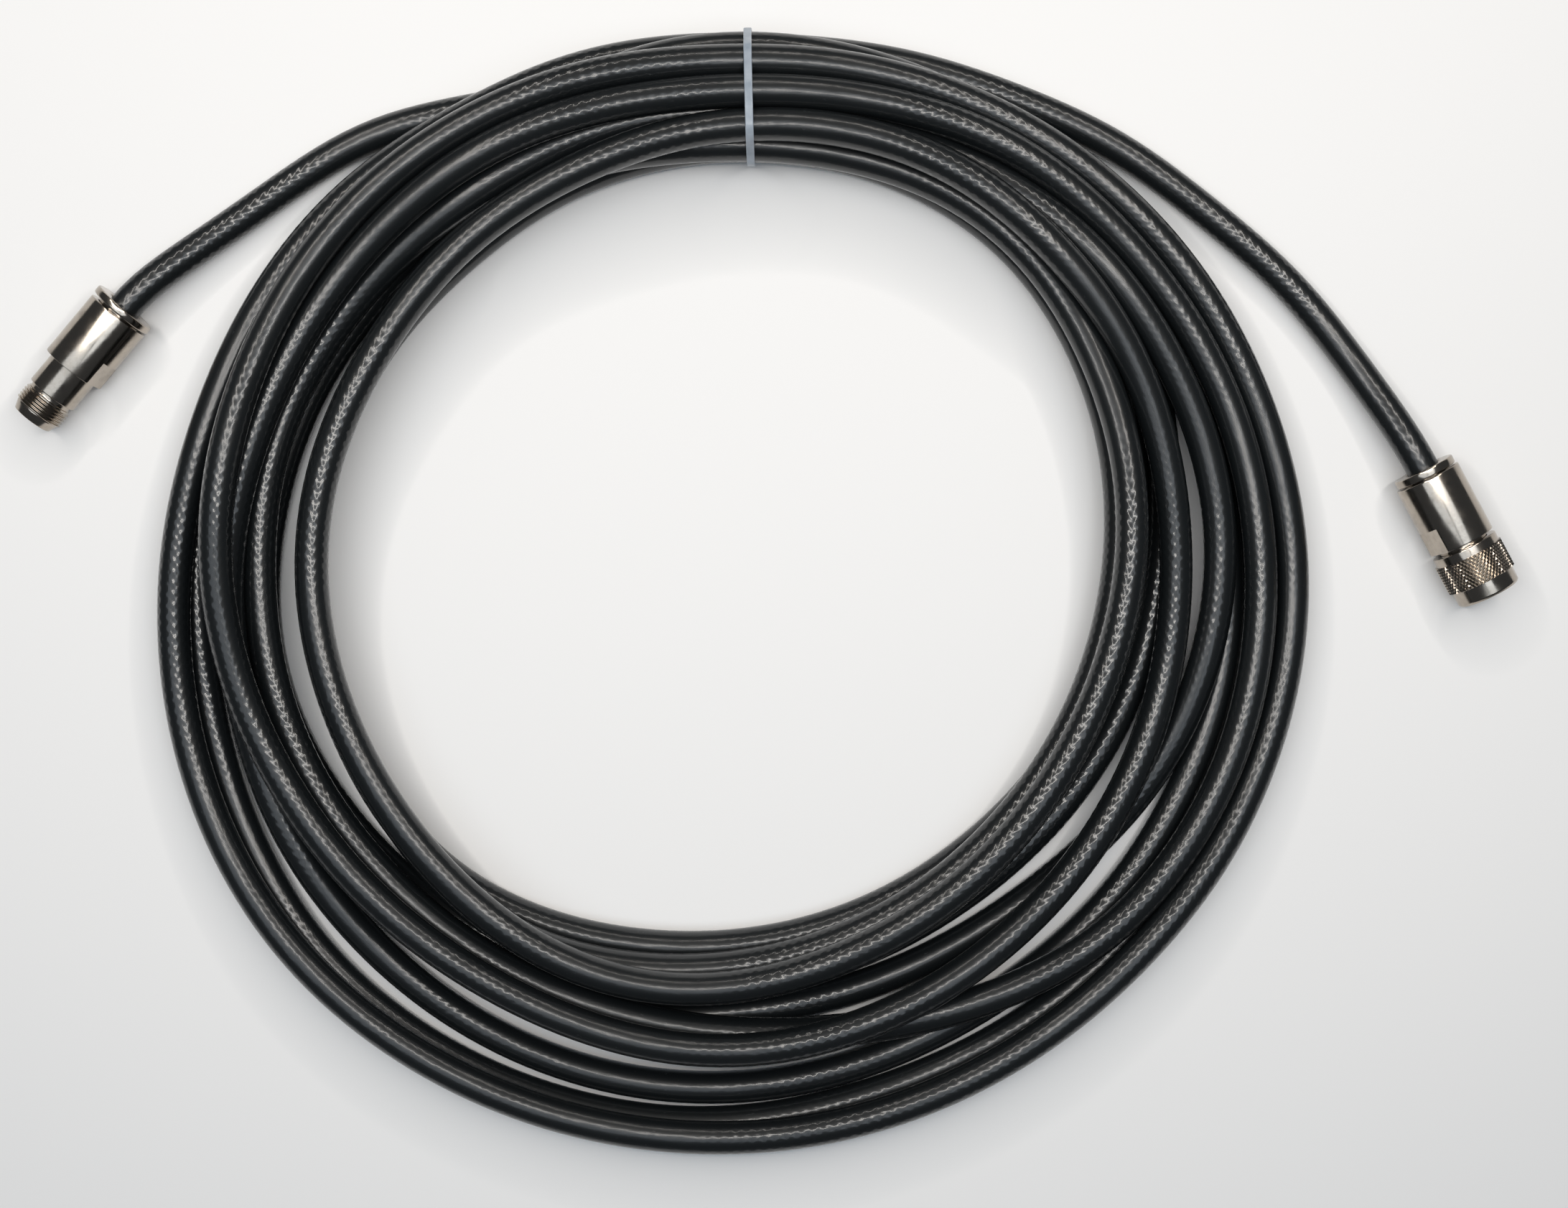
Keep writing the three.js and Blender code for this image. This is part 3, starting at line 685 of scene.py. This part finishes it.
def end_tree(nodes, inputs, shape):
    shape = nodes.add("GeometryNodeRealizeInstances", {"Geometry": shape})
    shape = nodes.add("GeometryNodeSetMaterial", {"Geometry": shape, "Material": inputs["Material"]})
    end = nodes.tree.nodes.new("NodeGroupOutput")
    nodes.join(end.inputs["Geometry"], shape)
    return nodes.tree


def thread_tree():
    """A ridge that winds round the X axis and runs out at both ends. Inside a nut its height is less
    than nothing. The profile's own X points at the axis."""
    nodes, size = shape_tree("thread", ["Start", "Pitch", "Turns", "Core Radius", "Ridge Height",
                                        "Crest Width", "Root Depth", "Run-out"])
    spiral = nodes.add("GeometryNodeCurveSpiral", {
        "Resolution": 64, "Rotations": size["Turns"], "Start Radius": size["Core Radius"],
        "End Radius": size["Core Radius"], "Height": size["Turns"] * size["Pitch"]})
    spiral = nodes.add("GeometryNodeSetCurveNormal", {"Curve": spiral}, mode="Z_UP")
    foot = size["Root Depth"]
    crest = size["Ridge Height"] * -1.0
    half_crest = size["Crest Width"] * 0.5
    half_foot = size["Pitch"] * 0.5
    ridge = nodes.add("GeometryNodeCurvePrimitiveQuadrilateral", {
        "Point 1": nodes.vector(foot, half_foot * -1.0, 0.0),
        "Point 2": nodes.vector(crest, half_crest * -1.0, 0.0),
        "Point 3": nodes.vector(crest, half_crest, 0.0),
        "Point 4": nodes.vector(foot, half_foot, 0.0)}, mode="POINTS")
    share = nodes.add("GeometryNodeSplineParameter")
    from_end = share.least(1 - share) * size["Turns"] / size["Run-out"]
    ridge = nodes.add("GeometryNodeCurveToMesh", {
        "Curve": spiral, "Profile Curve": ridge, "Scale": from_end.least(1.0).most(0.05),
        "Fill Caps": True})
    ridge = nodes.add("GeometryNodeTransform", {
        "Geometry": ridge, "Translation": nodes.vector(size["Start"], 0.0, 0.0),
        "Rotation": (0, math.pi / 2, 0)})
    return end_tree(nodes, size, ridge)


def knurl_tree():
    """Rows of little four-sided studs round the X axis, each row half a stud round from the last; the
    first and last rows are cut off at the ends."""
    nodes, size = shape_tree("knurl", ["Start", "End", "Rows", "Studs Round", "Core Radius",
                                       "Stud Height", "Stud Length", "Stud Top"])
    studs = nodes.add("GeometryNodePoints", {"Count": size["Rows"] * size["Studs Round"]})
    index = nodes.add("GeometryNodeInputIndex")
    row = ((index + 0.5) / size["Studs Round"]).floor()
    place = index - row * size["Studs Round"] + (row % 2.0) * 0.5
    angle = place * TURN / size["Studs Round"]
    station = size["Start"] + (size["End"] - size["Start"]) * row / (size["Rows"] - 1.0)
    radius = size["Core Radius"]
    studs = nodes.add("GeometryNodeSetPosition", {"Geometry": studs, "Position": nodes.vector(
        station, radius * angle.sine() * -1.0, radius * angle.cosine())})
    stud = nodes.add("GeometryNodeMeshCone", {
        "Vertices": 4, "Radius Top": size["Stud Top"], "Radius Bottom": 1.0,
        "Depth": size["Stud Height"]})
    width = radius * math.pi / size["Studs Round"]
    shape = nodes.add("GeometryNodeInstanceOnPoints", {
        "Points": studs, "Instance": stud, "Rotation": nodes.vector(angle, 0.0, 0.0),
        "Scale": nodes.vector(size["Stud Length"] * 0.5, width * 1.02, 1.0)})
    shape = nodes.add("GeometryNodeRealizeInstances", {"Geometry": shape})
    corner = nodes.add("GeometryNodeInputPosition")
    shape = nodes.add("GeometryNodeSetPosition", {"Geometry": shape, "Position": nodes.vector(
        corner.part(0).most(size["Start"]).least(size["End"]), corner.part(1), corner.part(2))})
    return end_tree(nodes, size, shape)


def grown(tree, material, **sizes):
    """Runs a node tree with these sizes and gives its result as a plain mesh."""
    carrier = bpy.data.objects.new("carrier", bpy.data.meshes.new("carrier"))
    bpy.context.scene.collection.objects.link(carrier)
    modifier = carrier.modifiers.new("shape", "NODES")
    modifier.node_group = tree
    wanted = {name.replace("_", " "): value for name, value in sizes.items()}
    for item in tree.interface.items_tree:
        if item.in_out == "INPUT":
            value = material if item.name == "Material" else float(wanted[item.name.lower()])
            modifier[item.identifier] = value
    depsgraph = bpy.context.evaluated_depsgraph_get()
    mesh = bpy.data.meshes.new_from_object(carrier.evaluated_get(depsgraph), depsgraph=depsgraph)
    carrier.modifiers.remove(modifier)
    bpy.data.objects.remove(carrier)
    return outward(mesh)


# The cable

def carried_frames(path):
    """Two directions across the path at each of its points, carried along without twisting."""
    along = np.gradient(path, axis=0)
    along /= np.linalg.norm(along, axis=1)[:, None]
    side = np.cross(along[0], (0, 0, 1))
    sides = []
    for way in along:
        side = side - way * np.dot(side, way)
        side = side / np.linalg.norm(side)
        sides.append(side)
    sides = np.array(sides)
    return sides, np.cross(along, sides)


def make_cable(path, material):
    """The jacket as one closed tube, with the way round and the way along in its UV map."""
    across, up = carried_frames(path)
    angle = np.arange(RING_SIDES) * TURN / RING_SIDES
    ring = (np.cos(angle)[None, :, None] * across[:, None, :]
            + np.sin(angle)[None, :, None] * up[:, None, :])
    points = (path[:, None, :] + cable_radius * ring).reshape(-1, 3)
    faces, uv = [], []
    for i in range(len(path) - 1):
        for j in range(RING_SIDES):
            k = (j + 1) % RING_SIDES
            faces.append((i * RING_SIDES + j, i * RING_SIDES + k,
                          (i + 1) * RING_SIDES + k, (i + 1) * RING_SIDES + j))
            u, v = j / RING_SIDES, i * RING_STEP * MM
            du, dv = 1 / RING_SIDES, RING_STEP * MM
            uv += [(u, v), (u + du, v), (u + du, v + dv), (u, v + dv)]
    last = (len(path) - 1) * RING_SIDES
    faces.append(tuple(reversed(range(RING_SIDES))))
    faces.append(tuple(last + j for j in range(RING_SIDES)))
    uv += [(0.5, 0)] * (2 * RING_SIDES)
    mesh = mesh_of(points, faces)
    layer = mesh.uv_layers.new(name="along")
    layer.data.foreach_set("uv", np.asarray(uv, np.float32).ravel())
    return finish_piece("coax_cable", mesh, COIL_FRAME, "cable", "jacket", material,
                        replaces=["cable_coil", "cable_to_jack", "cable_to_plug"])


# The tie

def hull_of(points):
    """The convex outline of flat points, anticlockwise."""
    points = sorted(map(tuple, points))

    def chain(ordered):
        kept = []
        for x, y in ordered:
            while len(kept) > 1:
                (ax, ay), (bx, by) = kept[-2:]
                if (bx - ax) * (y - ay) - (by - ay) * (x - ax) > 0:
                    break
                kept.pop()
            kept.append((x, y))
        return kept[:-1]

    return np.array(chain(points) + chain(reversed(points)))


def evenly(outline, step):
    """A closed flat outline with new points at even steps."""
    closed = np.vstack([outline, outline[:1]])
    travelled = np.concatenate([[0], np.cumsum(np.linalg.norm(np.diff(closed, axis=0), axis=1))])
    stops = np.linspace(0, travelled[-1], round(travelled[-1] / step), endpoint=False)
    return np.stack([np.interp(stops, travelled, closed[:, axis]) for axis in range(2)], axis=1)


def strap_path(path):
    """The tie's inside outline: round all the turns that its plane cuts, as (outwards, height)."""
    outwards = np.array((math.sin(TIE_BEARING), math.cos(TIE_BEARING)))
    aside = np.array((outwards[1], -outwards[0]))
    from_plane = (path[:, :2] - (TIE_OFFSET_X, 0)) @ aside
    reach = (path[:, :2] - (TIE_OFFSET_X, 0)) @ outwards
    angle = np.arange(TIE_TURN_SIDES) * TURN / TIE_TURN_SIDES
    round_turn = (cable_radius + TIE_SLACK) * np.stack([np.cos(angle), np.sin(angle)], axis=1)
    turns = []
    for i in range(len(path) - 1):
        if from_plane[i] * from_plane[i + 1] <= 0 and reach[i] > 0:
            share = from_plane[i] / (from_plane[i] - from_plane[i + 1])
            middle = (reach[i] + share * (reach[i + 1] - reach[i]),
                      path[i, 2] + share * (path[i + 1, 2] - path[i, 2]))
            turns.append(round_turn + middle)
    return evenly(hull_of(np.vstack(turns)), TIE_STEP)


def make_tie(path, material):
    """The strap and its head, in a plane of their own: X outwards from the coil, Y aside, Z up."""
    inside = strap_path(path)
    along = np.roll(inside, -1, axis=0) - np.roll(inside, 1, axis=0)
    along /= np.linalg.norm(along, axis=1)[:, None]
    out = np.stack([along[:, 1], -along[:, 0]], axis=1)
    half = TIE_WIDTH / 2
    section = softened([(0, -half, TIE_EDGE_INSIDE), (0, half, TIE_EDGE_INSIDE),
                        (TIE_THICKNESS, half, TIE_EDGE_OUTSIDE),
                        (TIE_THICKNESS, -half, TIE_EDGE_OUTSIDE)], 3)
    points = []
    for place, way_out in zip(inside, out):
        for rise, aside in section:
            x, z = place + rise * way_out
            points.append((x, aside, z))
    count, sides = len(inside), len(section)
    faces = [(i * sides + j, i * sides + (j + 1) % sides,
              (i + 1) % count * sides + (j + 1) % sides, (i + 1) % count * sides + j)
             for i in range(count) for j in range(sides)]
    strap = outward(mesh_of(points, faces))
    low = inside[:, 1].min()
    middle = (inside[:, 0].min() + inside[:, 0].max()) / 2
    frame_matrix = COIL_FRAME @ Matrix.Translation((TIE_OFFSET_X, 0, 0)) @ Matrix.Rotation(
        math.pi / 2 - TIE_BEARING, 4, "Z")
    return finish_piece("tie", joined([strap, tie_head(middle, low)]), frame_matrix, "cable",
                        "tie_nylon", material, sharp=50, replaces=["cable_tie"])


def tie_head(middle, top):
    """The moulded head under the coil: a rounded block, hollow at its ends, with the cut end below."""
    height = TIE_HEAD_SIZE[2]
    block = bmesh.new()
    bmesh.ops.create_cube(block, size=1)
    bmesh.ops.scale(block, vec=TIE_HEAD_SIZE, verts=block.verts)
    bmesh.ops.bevel(block, geom=block.edges[:], offset=TIE_HEAD_ROUNDING, segments=3, affect="EDGES",
                    profile=0.5)
    ends = [face for face in block.faces if abs(face.normal.x) > 0.99]
    bmesh.ops.inset_individual(block, faces=ends, thickness=TIE_HEAD_WALL)
    for face in ends:
        bmesh.ops.translate(block, verts=face.verts, vec=face.normal * -TIE_HEAD_RECESS)
    stub = bmesh.ops.create_cube(block, size=1)["verts"]
    bmesh.ops.scale(block, vec=(TIE_THICKNESS, TIE_WIDTH, 2 * TIE_CUT_END), verts=stub)
    bmesh.ops.translate(block, verts=stub, vec=(0, 0, -height / 2))
    bmesh.ops.translate(block, verts=block.verts, vec=(middle, 0, top - height / 2))
    mesh = bpy.data.meshes.new("mesh")
    block.to_mesh(mesh)
    block.free()
    return mesh


# The connectors: radii, and stations along the axis

CONNECTOR_SIDES = 112
SMALL_SIDES = 64
THREAD_PITCH = 25.4 / 24
FLAT_HALF = 8.9
JACK_FLAT_TILT = math.radians(8)
PLUG_FLAT_TILT = math.radians(-13.5)
# The step from the round part of a body to its flats, along the axis
FLAT_STEP = 0.01

# Both bodies take a clamp nut's shank in their rear bore, and the cable in a narrower chamber
CABLE_HOLE, CABLE_HOLE_RIM = 5.3, 5.75
CABLE_HOLE_START = 0.6
SHANK_RADIUS, SHANK_END = 7.3, 12.4
BORE_RADIUS = 7.7
CHAMBER_RADIUS = 5.6
CONTACT_RADIUS, BEAD_HOLE = 1.5, 1.55

# Jack
JACK_RIM_RADIUS, JACK_RIM_END = 10.27, 2.45
# The rear nut sits askew: its rim leans back by this share of the way across
REAR_NUT_SKEW = 0.045
JACK_BODY_RADIUS, JACK_BODY_START, JACK_BODY_END = 10.03, 3.0, 25.4
JACK_FLAT_START = 17.2
JACK_BORE_END, JACK_CHAMBER_END = 13.1, 22.1
JACK_BARREL_RADIUS, JACK_BARREL_END = 8.0, 35.9
JACK_RELIEF_RADIUS, JACK_RELIEF_END = 6.95, 37.2
JACK_CORE_RADIUS, JACK_CORE_START, JACK_CORE_END = 7.3, 37.4, 43.3
JACK_NOSE_RADIUS, JACK_END = 6.35, 46.0
JACK_MOUTH_RADIUS = 4.05
JACK_THREAD_START, JACK_THREAD_TURNS, JACK_THREAD_HEIGHT = 37.7, 5.3, 0.62
JACK_BEAD_RADIUS, JACK_BEAD_START, JACK_BEAD_STEP, JACK_BEAD_END = 4.0, 28.9, 36.3, 36.9
JACK_BEAD_DISH = 2.2
SOCKET_START, SOCKET_SOLID_END, SOCKET_END, SOCKET_HOLE = 22.9, 35.2, 41.9, 0.83
SOCKET_FINGERS, SOCKET_SLOT = 4, 0.32

# Plug
PLUG_RIM_RADIUS, PLUG_RIM_END = 9.72, 2.6
PLUG_BODY_RADIUS, PLUG_BODY_START, PLUG_BODY_END = 10.33, 3.05, 26.5
PLUG_FLAT_START = 18.3
PLUG_BORE_END, PLUG_CHAMBER_END = 13.2, 22.2
PLUG_NECK_RADIUS, PLUG_NECK_END = 7.6, 31.7
RING_GROOVE_RADIUS, RING_GROOVE_START, RING_GROOVE_END = 6.6, 29.2, 30.6
SLEEVE_RADIUS, SLEEVE_HOLE = 4.0, 3.4
SLEEVE_SOLID_END, SLEEVE_END = 36.5, 43.1
SLEEVE_FINGERS, SLEEVE_SLOT = 6, 0.35
SEAL_HOLE, SEAL_RADIUS, SEAL_START, SEAL_END = 4.35, 7.1, 32.0, 33.6
PLUG_BEAD_RADIUS, PLUG_BEAD_START, PLUG_BEAD_END = 3.35, 26.0, 34.0
PIN_START, PIN_STEP, PIN_THIN_START, PIN_THIN_END, PIN_END = 20.0, 38.5, 38.9, 43.0, 43.7
PIN_TIP_RADIUS, PIN_END_RADIUS = 0.8, 0.3

# Coupling nut
NUT_RADIUS, NUT_START, NUT_KNURL_END = 10.43, 27.75, 39.9
NUT_BAND_RADIUS, NUT_BAND_END = 10.04, 44.3
NUT_FACE_RADIUS, NUT_END = 9.4, 45.05
NUT_MOUTH_RADIUS, NUT_HOLE_RADIUS, NUT_MOUTH_DEPTH = 8.2, 8.0, 44.6
NUT_COLLAR_RADIUS = 7.9
NUT_GROOVE_RADIUS, NUT_GROOVE_START, NUT_GROOVE_END = 8.9, 29.2, 30.6
NUT_THREAD_START, NUT_THREAD_TURNS, NUT_THREAD_HEIGHT = 31.2, 12.2, 0.55
KNURL_START, KNURL_END, KNURL_ROWS, KNURL_ROUND = 30.5, 39.8, 11, 56
KNURL_CORE_RADIUS, KNURL_HEIGHT, KNURL_LENGTH, KNURL_TOP = 10.42, 0.5, 2.0, 0.2


def flat_corners(radius, tilt):
    """The angles at which the two flats meet the round body."""
    reach = math.acos(FLAT_HALF / radius)
    return [side + tilt + way * reach for side in (0, math.pi) for way in (-1, 1)]


def clamp_nut(rim_radius, rim_end, rounding, rear_rounding):
    """A flange behind the body, with a hollow shank that reaches into it."""
    return turned([
        (CABLE_HOLE, CABLE_HOLE_START, 0), (CABLE_HOLE, SHANK_END, 0), (SHANK_RADIUS, SHANK_END, 0.2),
        (SHANK_RADIUS, rim_end, 0.2), (rim_radius, rim_end, rounding), (rim_radius, 0, rear_rounding),
        (CABLE_HOLE_RIM, 0, 0.15)], round_angles(CONNECTOR_SIDES))


def body_angles(radius, tilt):
    return round_angles(CONNECTOR_SIDES, flat_corners(radius, tilt))


def make_jack(nickel, resin, contact, threads):
    def place(name, mesh, slot, material, replaces):
        return finish_piece(name, mesh, JACK_FRAME, "cable", slot, material, 35, replaces)

    rear_nut = clamp_nut(JACK_RIM_RADIUS, JACK_RIM_END, 0.55, 0.75)
    for vertex in rear_nut.vertices:
        if vertex.co.x < JACK_BODY_START:
            vertex.co.x -= REAR_NUT_SKEW * (10 - vertex.co.y)
    place("jack_rear_nut", rear_nut, "nickel", nickel, ["jack_clamp_nut"])

    shell = turned([
        (BORE_RADIUS, JACK_BODY_START, 0.15), (JACK_BODY_RADIUS, JACK_BODY_START, 0.25),
        (JACK_BODY_RADIUS, JACK_FLAT_START, 0), (JACK_BODY_RADIUS, JACK_FLAT_START + FLAT_STEP, 0),
        (JACK_BODY_RADIUS, JACK_BODY_END, 0.22), (JACK_BARREL_RADIUS, JACK_BODY_END, 0.15),
        (JACK_BARREL_RADIUS, JACK_BARREL_END, 0.3), (JACK_RELIEF_RADIUS, JACK_BARREL_END, 0.2),
        (JACK_RELIEF_RADIUS, JACK_RELIEF_END, 0.2), (JACK_CORE_RADIUS, JACK_CORE_START, 0),
        (JACK_CORE_RADIUS, JACK_CORE_END, 0.2), (JACK_NOSE_RADIUS, JACK_END, 0.3),
        (JACK_MOUTH_RADIUS, JACK_END, 0.25), (JACK_MOUTH_RADIUS, JACK_CHAMBER_END, 0),
        (CHAMBER_RADIUS, JACK_CHAMBER_END, 0), (CHAMBER_RADIUS, JACK_BORE_END, 0),
        (BORE_RADIUS, JACK_BORE_END, 0)],
        body_angles(JACK_BODY_RADIUS, JACK_FLAT_TILT),
        (JACK_FLAT_START + FLAT_STEP / 2, JACK_BODY_END + 0.6, FLAT_HALF, JACK_FLAT_TILT))
    place("jack_shell", shell, "nickel", nickel, ["jack_body"])

    ridge = grown(threads, nickel, start=JACK_THREAD_START, pitch=THREAD_PITCH, turns=JACK_THREAD_TURNS,
                  core_radius=JACK_CORE_RADIUS, ridge_height=JACK_THREAD_HEIGHT, crest_width=0.14,
                  root_depth=0.1, **{"run-out": 0.45})
    place("jack_thread", ridge, "nickel", None, [])

    place("jack_bead", turned([
        (BEAD_HOLE, JACK_BEAD_START, 0), (BEAD_HOLE, JACK_BEAD_STEP, 0.1),
        (JACK_BEAD_DISH, JACK_BEAD_STEP, 0.1), (JACK_BEAD_DISH, JACK_BEAD_END, 0.1),
        (JACK_BEAD_RADIUS, JACK_BEAD_END, 0.15), (JACK_BEAD_RADIUS, JACK_BEAD_START, 0.1)],
        round_angles(SMALL_SIDES)), "resin", resin, ["jack_insulator"])

    socket = turned([
        (0, SOCKET_START, 0), (CONTACT_RADIUS, SOCKET_START, 0.2), (CONTACT_RADIUS, SOCKET_SOLID_END, 0),
        (SOCKET_HOLE, SOCKET_SOLID_END, 0), (0, SOCKET_SOLID_END, 0)], round_angles(SMALL_SIDES))
    springs = fingers(SOCKET_FINGERS, SOCKET_SLOT, CONTACT_RADIUS, SOCKET_HOLE, SOCKET_SOLID_END - 0.1,
                      SOCKET_END)
    place("jack_socket", joined([socket, springs]), "contact_metal", contact, ["jack_contact"])


def make_plug(nickel, resin, contact, rubber):
    def place(name, mesh, slot, material, replaces):
        return finish_piece(name, mesh, PLUG_FRAME, "cable", slot, material, 35, replaces)

    shell = turned([
        (BORE_RADIUS, PLUG_BODY_START, 0.15), (PLUG_BODY_RADIUS, PLUG_BODY_START, 0.45),
        (PLUG_BODY_RADIUS, PLUG_FLAT_START, 0), (PLUG_BODY_RADIUS, PLUG_FLAT_START + FLAT_STEP, 0),
        (PLUG_BODY_RADIUS, PLUG_BODY_END, 0.3), (PLUG_NECK_RADIUS, PLUG_BODY_END, 0.1),
        (PLUG_NECK_RADIUS, RING_GROOVE_START, 0), (RING_GROOVE_RADIUS, RING_GROOVE_START, 0),
        (RING_GROOVE_RADIUS, RING_GROOVE_END, 0), (PLUG_NECK_RADIUS, RING_GROOVE_END, 0),
        (PLUG_NECK_RADIUS, PLUG_NECK_END, 0.2), (SLEEVE_RADIUS, PLUG_NECK_END, 0),
        (SLEEVE_RADIUS, SLEEVE_SOLID_END, 0), (SLEEVE_HOLE, SLEEVE_SOLID_END, 0),
        (SLEEVE_HOLE, PLUG_CHAMBER_END, 0), (CHAMBER_RADIUS, PLUG_CHAMBER_END, 0),
        (CHAMBER_RADIUS, PLUG_BORE_END, 0), (BORE_RADIUS, PLUG_BORE_END, 0)],
        body_angles(PLUG_BODY_RADIUS, PLUG_FLAT_TILT),
        (PLUG_FLAT_START + FLAT_STEP / 2, PLUG_BODY_END + 0.5, FLAT_HALF, PLUG_FLAT_TILT))
    sleeve = fingers(SLEEVE_FINGERS, SLEEVE_SLOT, SLEEVE_RADIUS, SLEEVE_HOLE, SLEEVE_SOLID_END - 0.1,
                     SLEEVE_END, lip=0.2)
    seal = turned([
        (SEAL_HOLE, SEAL_START, 0.4), (SEAL_HOLE, SEAL_END, 0.4), (SEAL_RADIUS, SEAL_END, 0.5),
        (SEAL_RADIUS, SEAL_START, 0.5)], round_angles(SMALL_SIDES))
    bead = turned([
        (BEAD_HOLE, PLUG_BEAD_START, 0), (BEAD_HOLE, PLUG_BEAD_END, 0.1),
        (PLUG_BEAD_RADIUS, PLUG_BEAD_END, 0.1), (PLUG_BEAD_RADIUS, PLUG_BEAD_START, 0.1)],
        round_angles(SMALL_SIDES))
    pin = turned([
        (0, PIN_START, 0), (CONTACT_RADIUS, PIN_START, 0.2), (CONTACT_RADIUS, PIN_STEP, 0.35),
        (PIN_TIP_RADIUS, PIN_THIN_START, 0.1), (PIN_TIP_RADIUS, PIN_THIN_END, 0.3),
        (PIN_END_RADIUS, PIN_END, 0.15), (0, PIN_END, 0)], round_angles(SMALL_SIDES))
    return [
        place("plug_rear_nut", clamp_nut(PLUG_RIM_RADIUS, PLUG_RIM_END, 0.4, 0.55), "nickel", nickel,
              ["plug_clamp_nut"]),
        place("plug_shell", shell, "nickel", nickel, ["plug_body"]),
        place("plug_sleeve", sleeve, "nickel", nickel, []),
        place("plug_seal", seal, "gasket_rubber", rubber, ["plug_gasket"]),
        place("plug_bead", bead, "resin", resin, ["plug_insulator"]),
        place("plug_centre_pin", pin, "contact_metal", contact, ["plug_pin"]),
    ]


def make_coupling_nut(nickel, threads, knurl):
    def place(name, mesh, material, replaces):
        return finish_piece(name, mesh, PLUG_FRAME, "coupling_nut", "nickel", material, 30, replaces)

    # The inner ridge grows towards the axis, so its heights are below nothing
    inner_ridge = grown(threads, nickel, start=NUT_THREAD_START, pitch=THREAD_PITCH,
                        turns=NUT_THREAD_TURNS, core_radius=NUT_HOLE_RADIUS,
                        ridge_height=-NUT_THREAD_HEIGHT, crest_width=0.2, root_depth=-0.1,
                        **{"run-out": 0.6})
    studs = grown(knurl, nickel, start=KNURL_START, end=KNURL_END, rows=KNURL_ROWS,
                  studs_round=KNURL_ROUND, core_radius=KNURL_CORE_RADIUS, stud_height=KNURL_HEIGHT,
                  stud_length=KNURL_LENGTH, stud_top=KNURL_TOP)
    shell = turned([
        (NUT_COLLAR_RADIUS, NUT_START, 0.1), (NUT_RADIUS, NUT_START, 0.35),
        (NUT_RADIUS, NUT_KNURL_END, 0.15), (NUT_BAND_RADIUS, NUT_KNURL_END, 0.1),
        (NUT_BAND_RADIUS, NUT_BAND_END, 0.25), (NUT_FACE_RADIUS, NUT_END, 0.2),
        (NUT_MOUTH_RADIUS, NUT_END, 0.15), (NUT_HOLE_RADIUS, NUT_MOUTH_DEPTH, 0.1),
        (NUT_HOLE_RADIUS, NUT_GROOVE_END, 0), (NUT_GROOVE_RADIUS, NUT_GROOVE_END, 0),
        (NUT_GROOVE_RADIUS, NUT_GROOVE_START, 0), (NUT_COLLAR_RADIUS, NUT_GROOVE_START, 0.1)],
        round_angles(CONNECTOR_SIDES))
    return [
        place("coupling_nut_shell", shell, nickel, ["plug_coupling_nut"]),
        place("coupling_nut_knurl", studs, None, []),
        place("coupling_nut_thread", inner_ridge, None, []),
    ]


# The floor and the lights, in metres

FLOOR_SIZE = 6

# A ring of narrow lamps above the camera draws one bright line along every turn, and two broad panels
# give the soft sheen and the wide bands on the metal
COOL = (0.82, 0.91, 1)
WARM = (1, 0.95, 0.89)
LAMP_COUNT = 24
LAMP_RING_MIDDLE = (0, 0.42)
LAMP_RING_RADIUS = 0.42
LAMP_RING_HEIGHT = 0.7
LAMP_WIDTH = 0.03
LAMP_OVERLAP = 1.04
LAMP_POWER = 0.31

def make_floor():
    material = new_material("pale_floor", (0.93, 0.93, 0.93), 0.8)[0]
    bpy.ops.mesh.primitive_plane_add(size=FLOOR_SIZE)
    floor = bpy.context.object
    floor.name = "floor"
    floor.data.materials.append(material)


def make_light(name, place, size, power, colour, turn=0.0):
    """An oblong lamp that faces down, placed in metres from the coil's middle and turned about Z."""
    data = bpy.data.lights.new(name, "AREA")
    data.shape = "RECTANGLE"
    data.size, data.size_y = size
    data.energy = power
    data.color = colour
    light = bpy.data.objects.new(name, data)
    bpy.context.scene.collection.objects.link(light)
    light.location = Vector(place) + Vector((*COIL_MIDDLE, 0)) * MM
    light.rotation_euler = (0, 0, turn)


def make_lights():
    world = bpy.data.worlds.new("world")
    world.use_nodes = True
    background = world.node_tree.nodes["Background"]
    background.inputs["Color"].default_value = (0.85, 0.92, 1, 1)
    background.inputs["Strength"].default_value = 0.07
    bpy.context.scene.world = world
    make_light("left_panel", (-0.46, -0.2, 1.45), (0.98, 0.9), 3.9, COOL)
    make_light("right_panel", (0.39, -0.2, 1.45), (0.58, 0.9), 3.1, COOL)
    lamp = (LAMP_OVERLAP * TURN * LAMP_RING_RADIUS / LAMP_COUNT, LAMP_WIDTH)
    for i in range(LAMP_COUNT):
        angle = i * TURN / LAMP_COUNT
        place = (LAMP_RING_MIDDLE[0] + LAMP_RING_RADIUS * math.cos(angle),
                 LAMP_RING_MIDDLE[1] + LAMP_RING_RADIUS * math.sin(angle), LAMP_RING_HEIGHT)
        make_light(f"lamp_{i}", place, lamp, LAMP_POWER, WARM, angle + math.pi / 2)


bpy.context.scene.view_settings.view_transform = "Standard"
make_camera()
route = cable_route()
coax_cable = make_cable(route, jacket_material())

jack_nickel = nickel_material("pitted_nickel", JACK_FRAME, 0.012, 0.004)
plug_nickel = nickel_material("bright_nickel", PLUG_FRAME, 0.002, 0.002)
resin = resin_material()
contact = contact_material()
rubber = rubber_material()
threads = thread_tree()
make_tie(route, nylon_material())
make_jack(jack_nickel, resin, contact, threads)
plug_pieces = make_plug(plug_nickel, resin, contact, rubber)
plug_pieces += make_coupling_nut(plug_nickel, threads, knurl_tree())
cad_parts["plug_retaining_ring"].material_slots[0].material = plug_nickel

jack_exit = connector_points(JACK_PLACE, JACK_HEADING, JACK_HEIGHT, [0])[0]

make_floor()
make_lights()
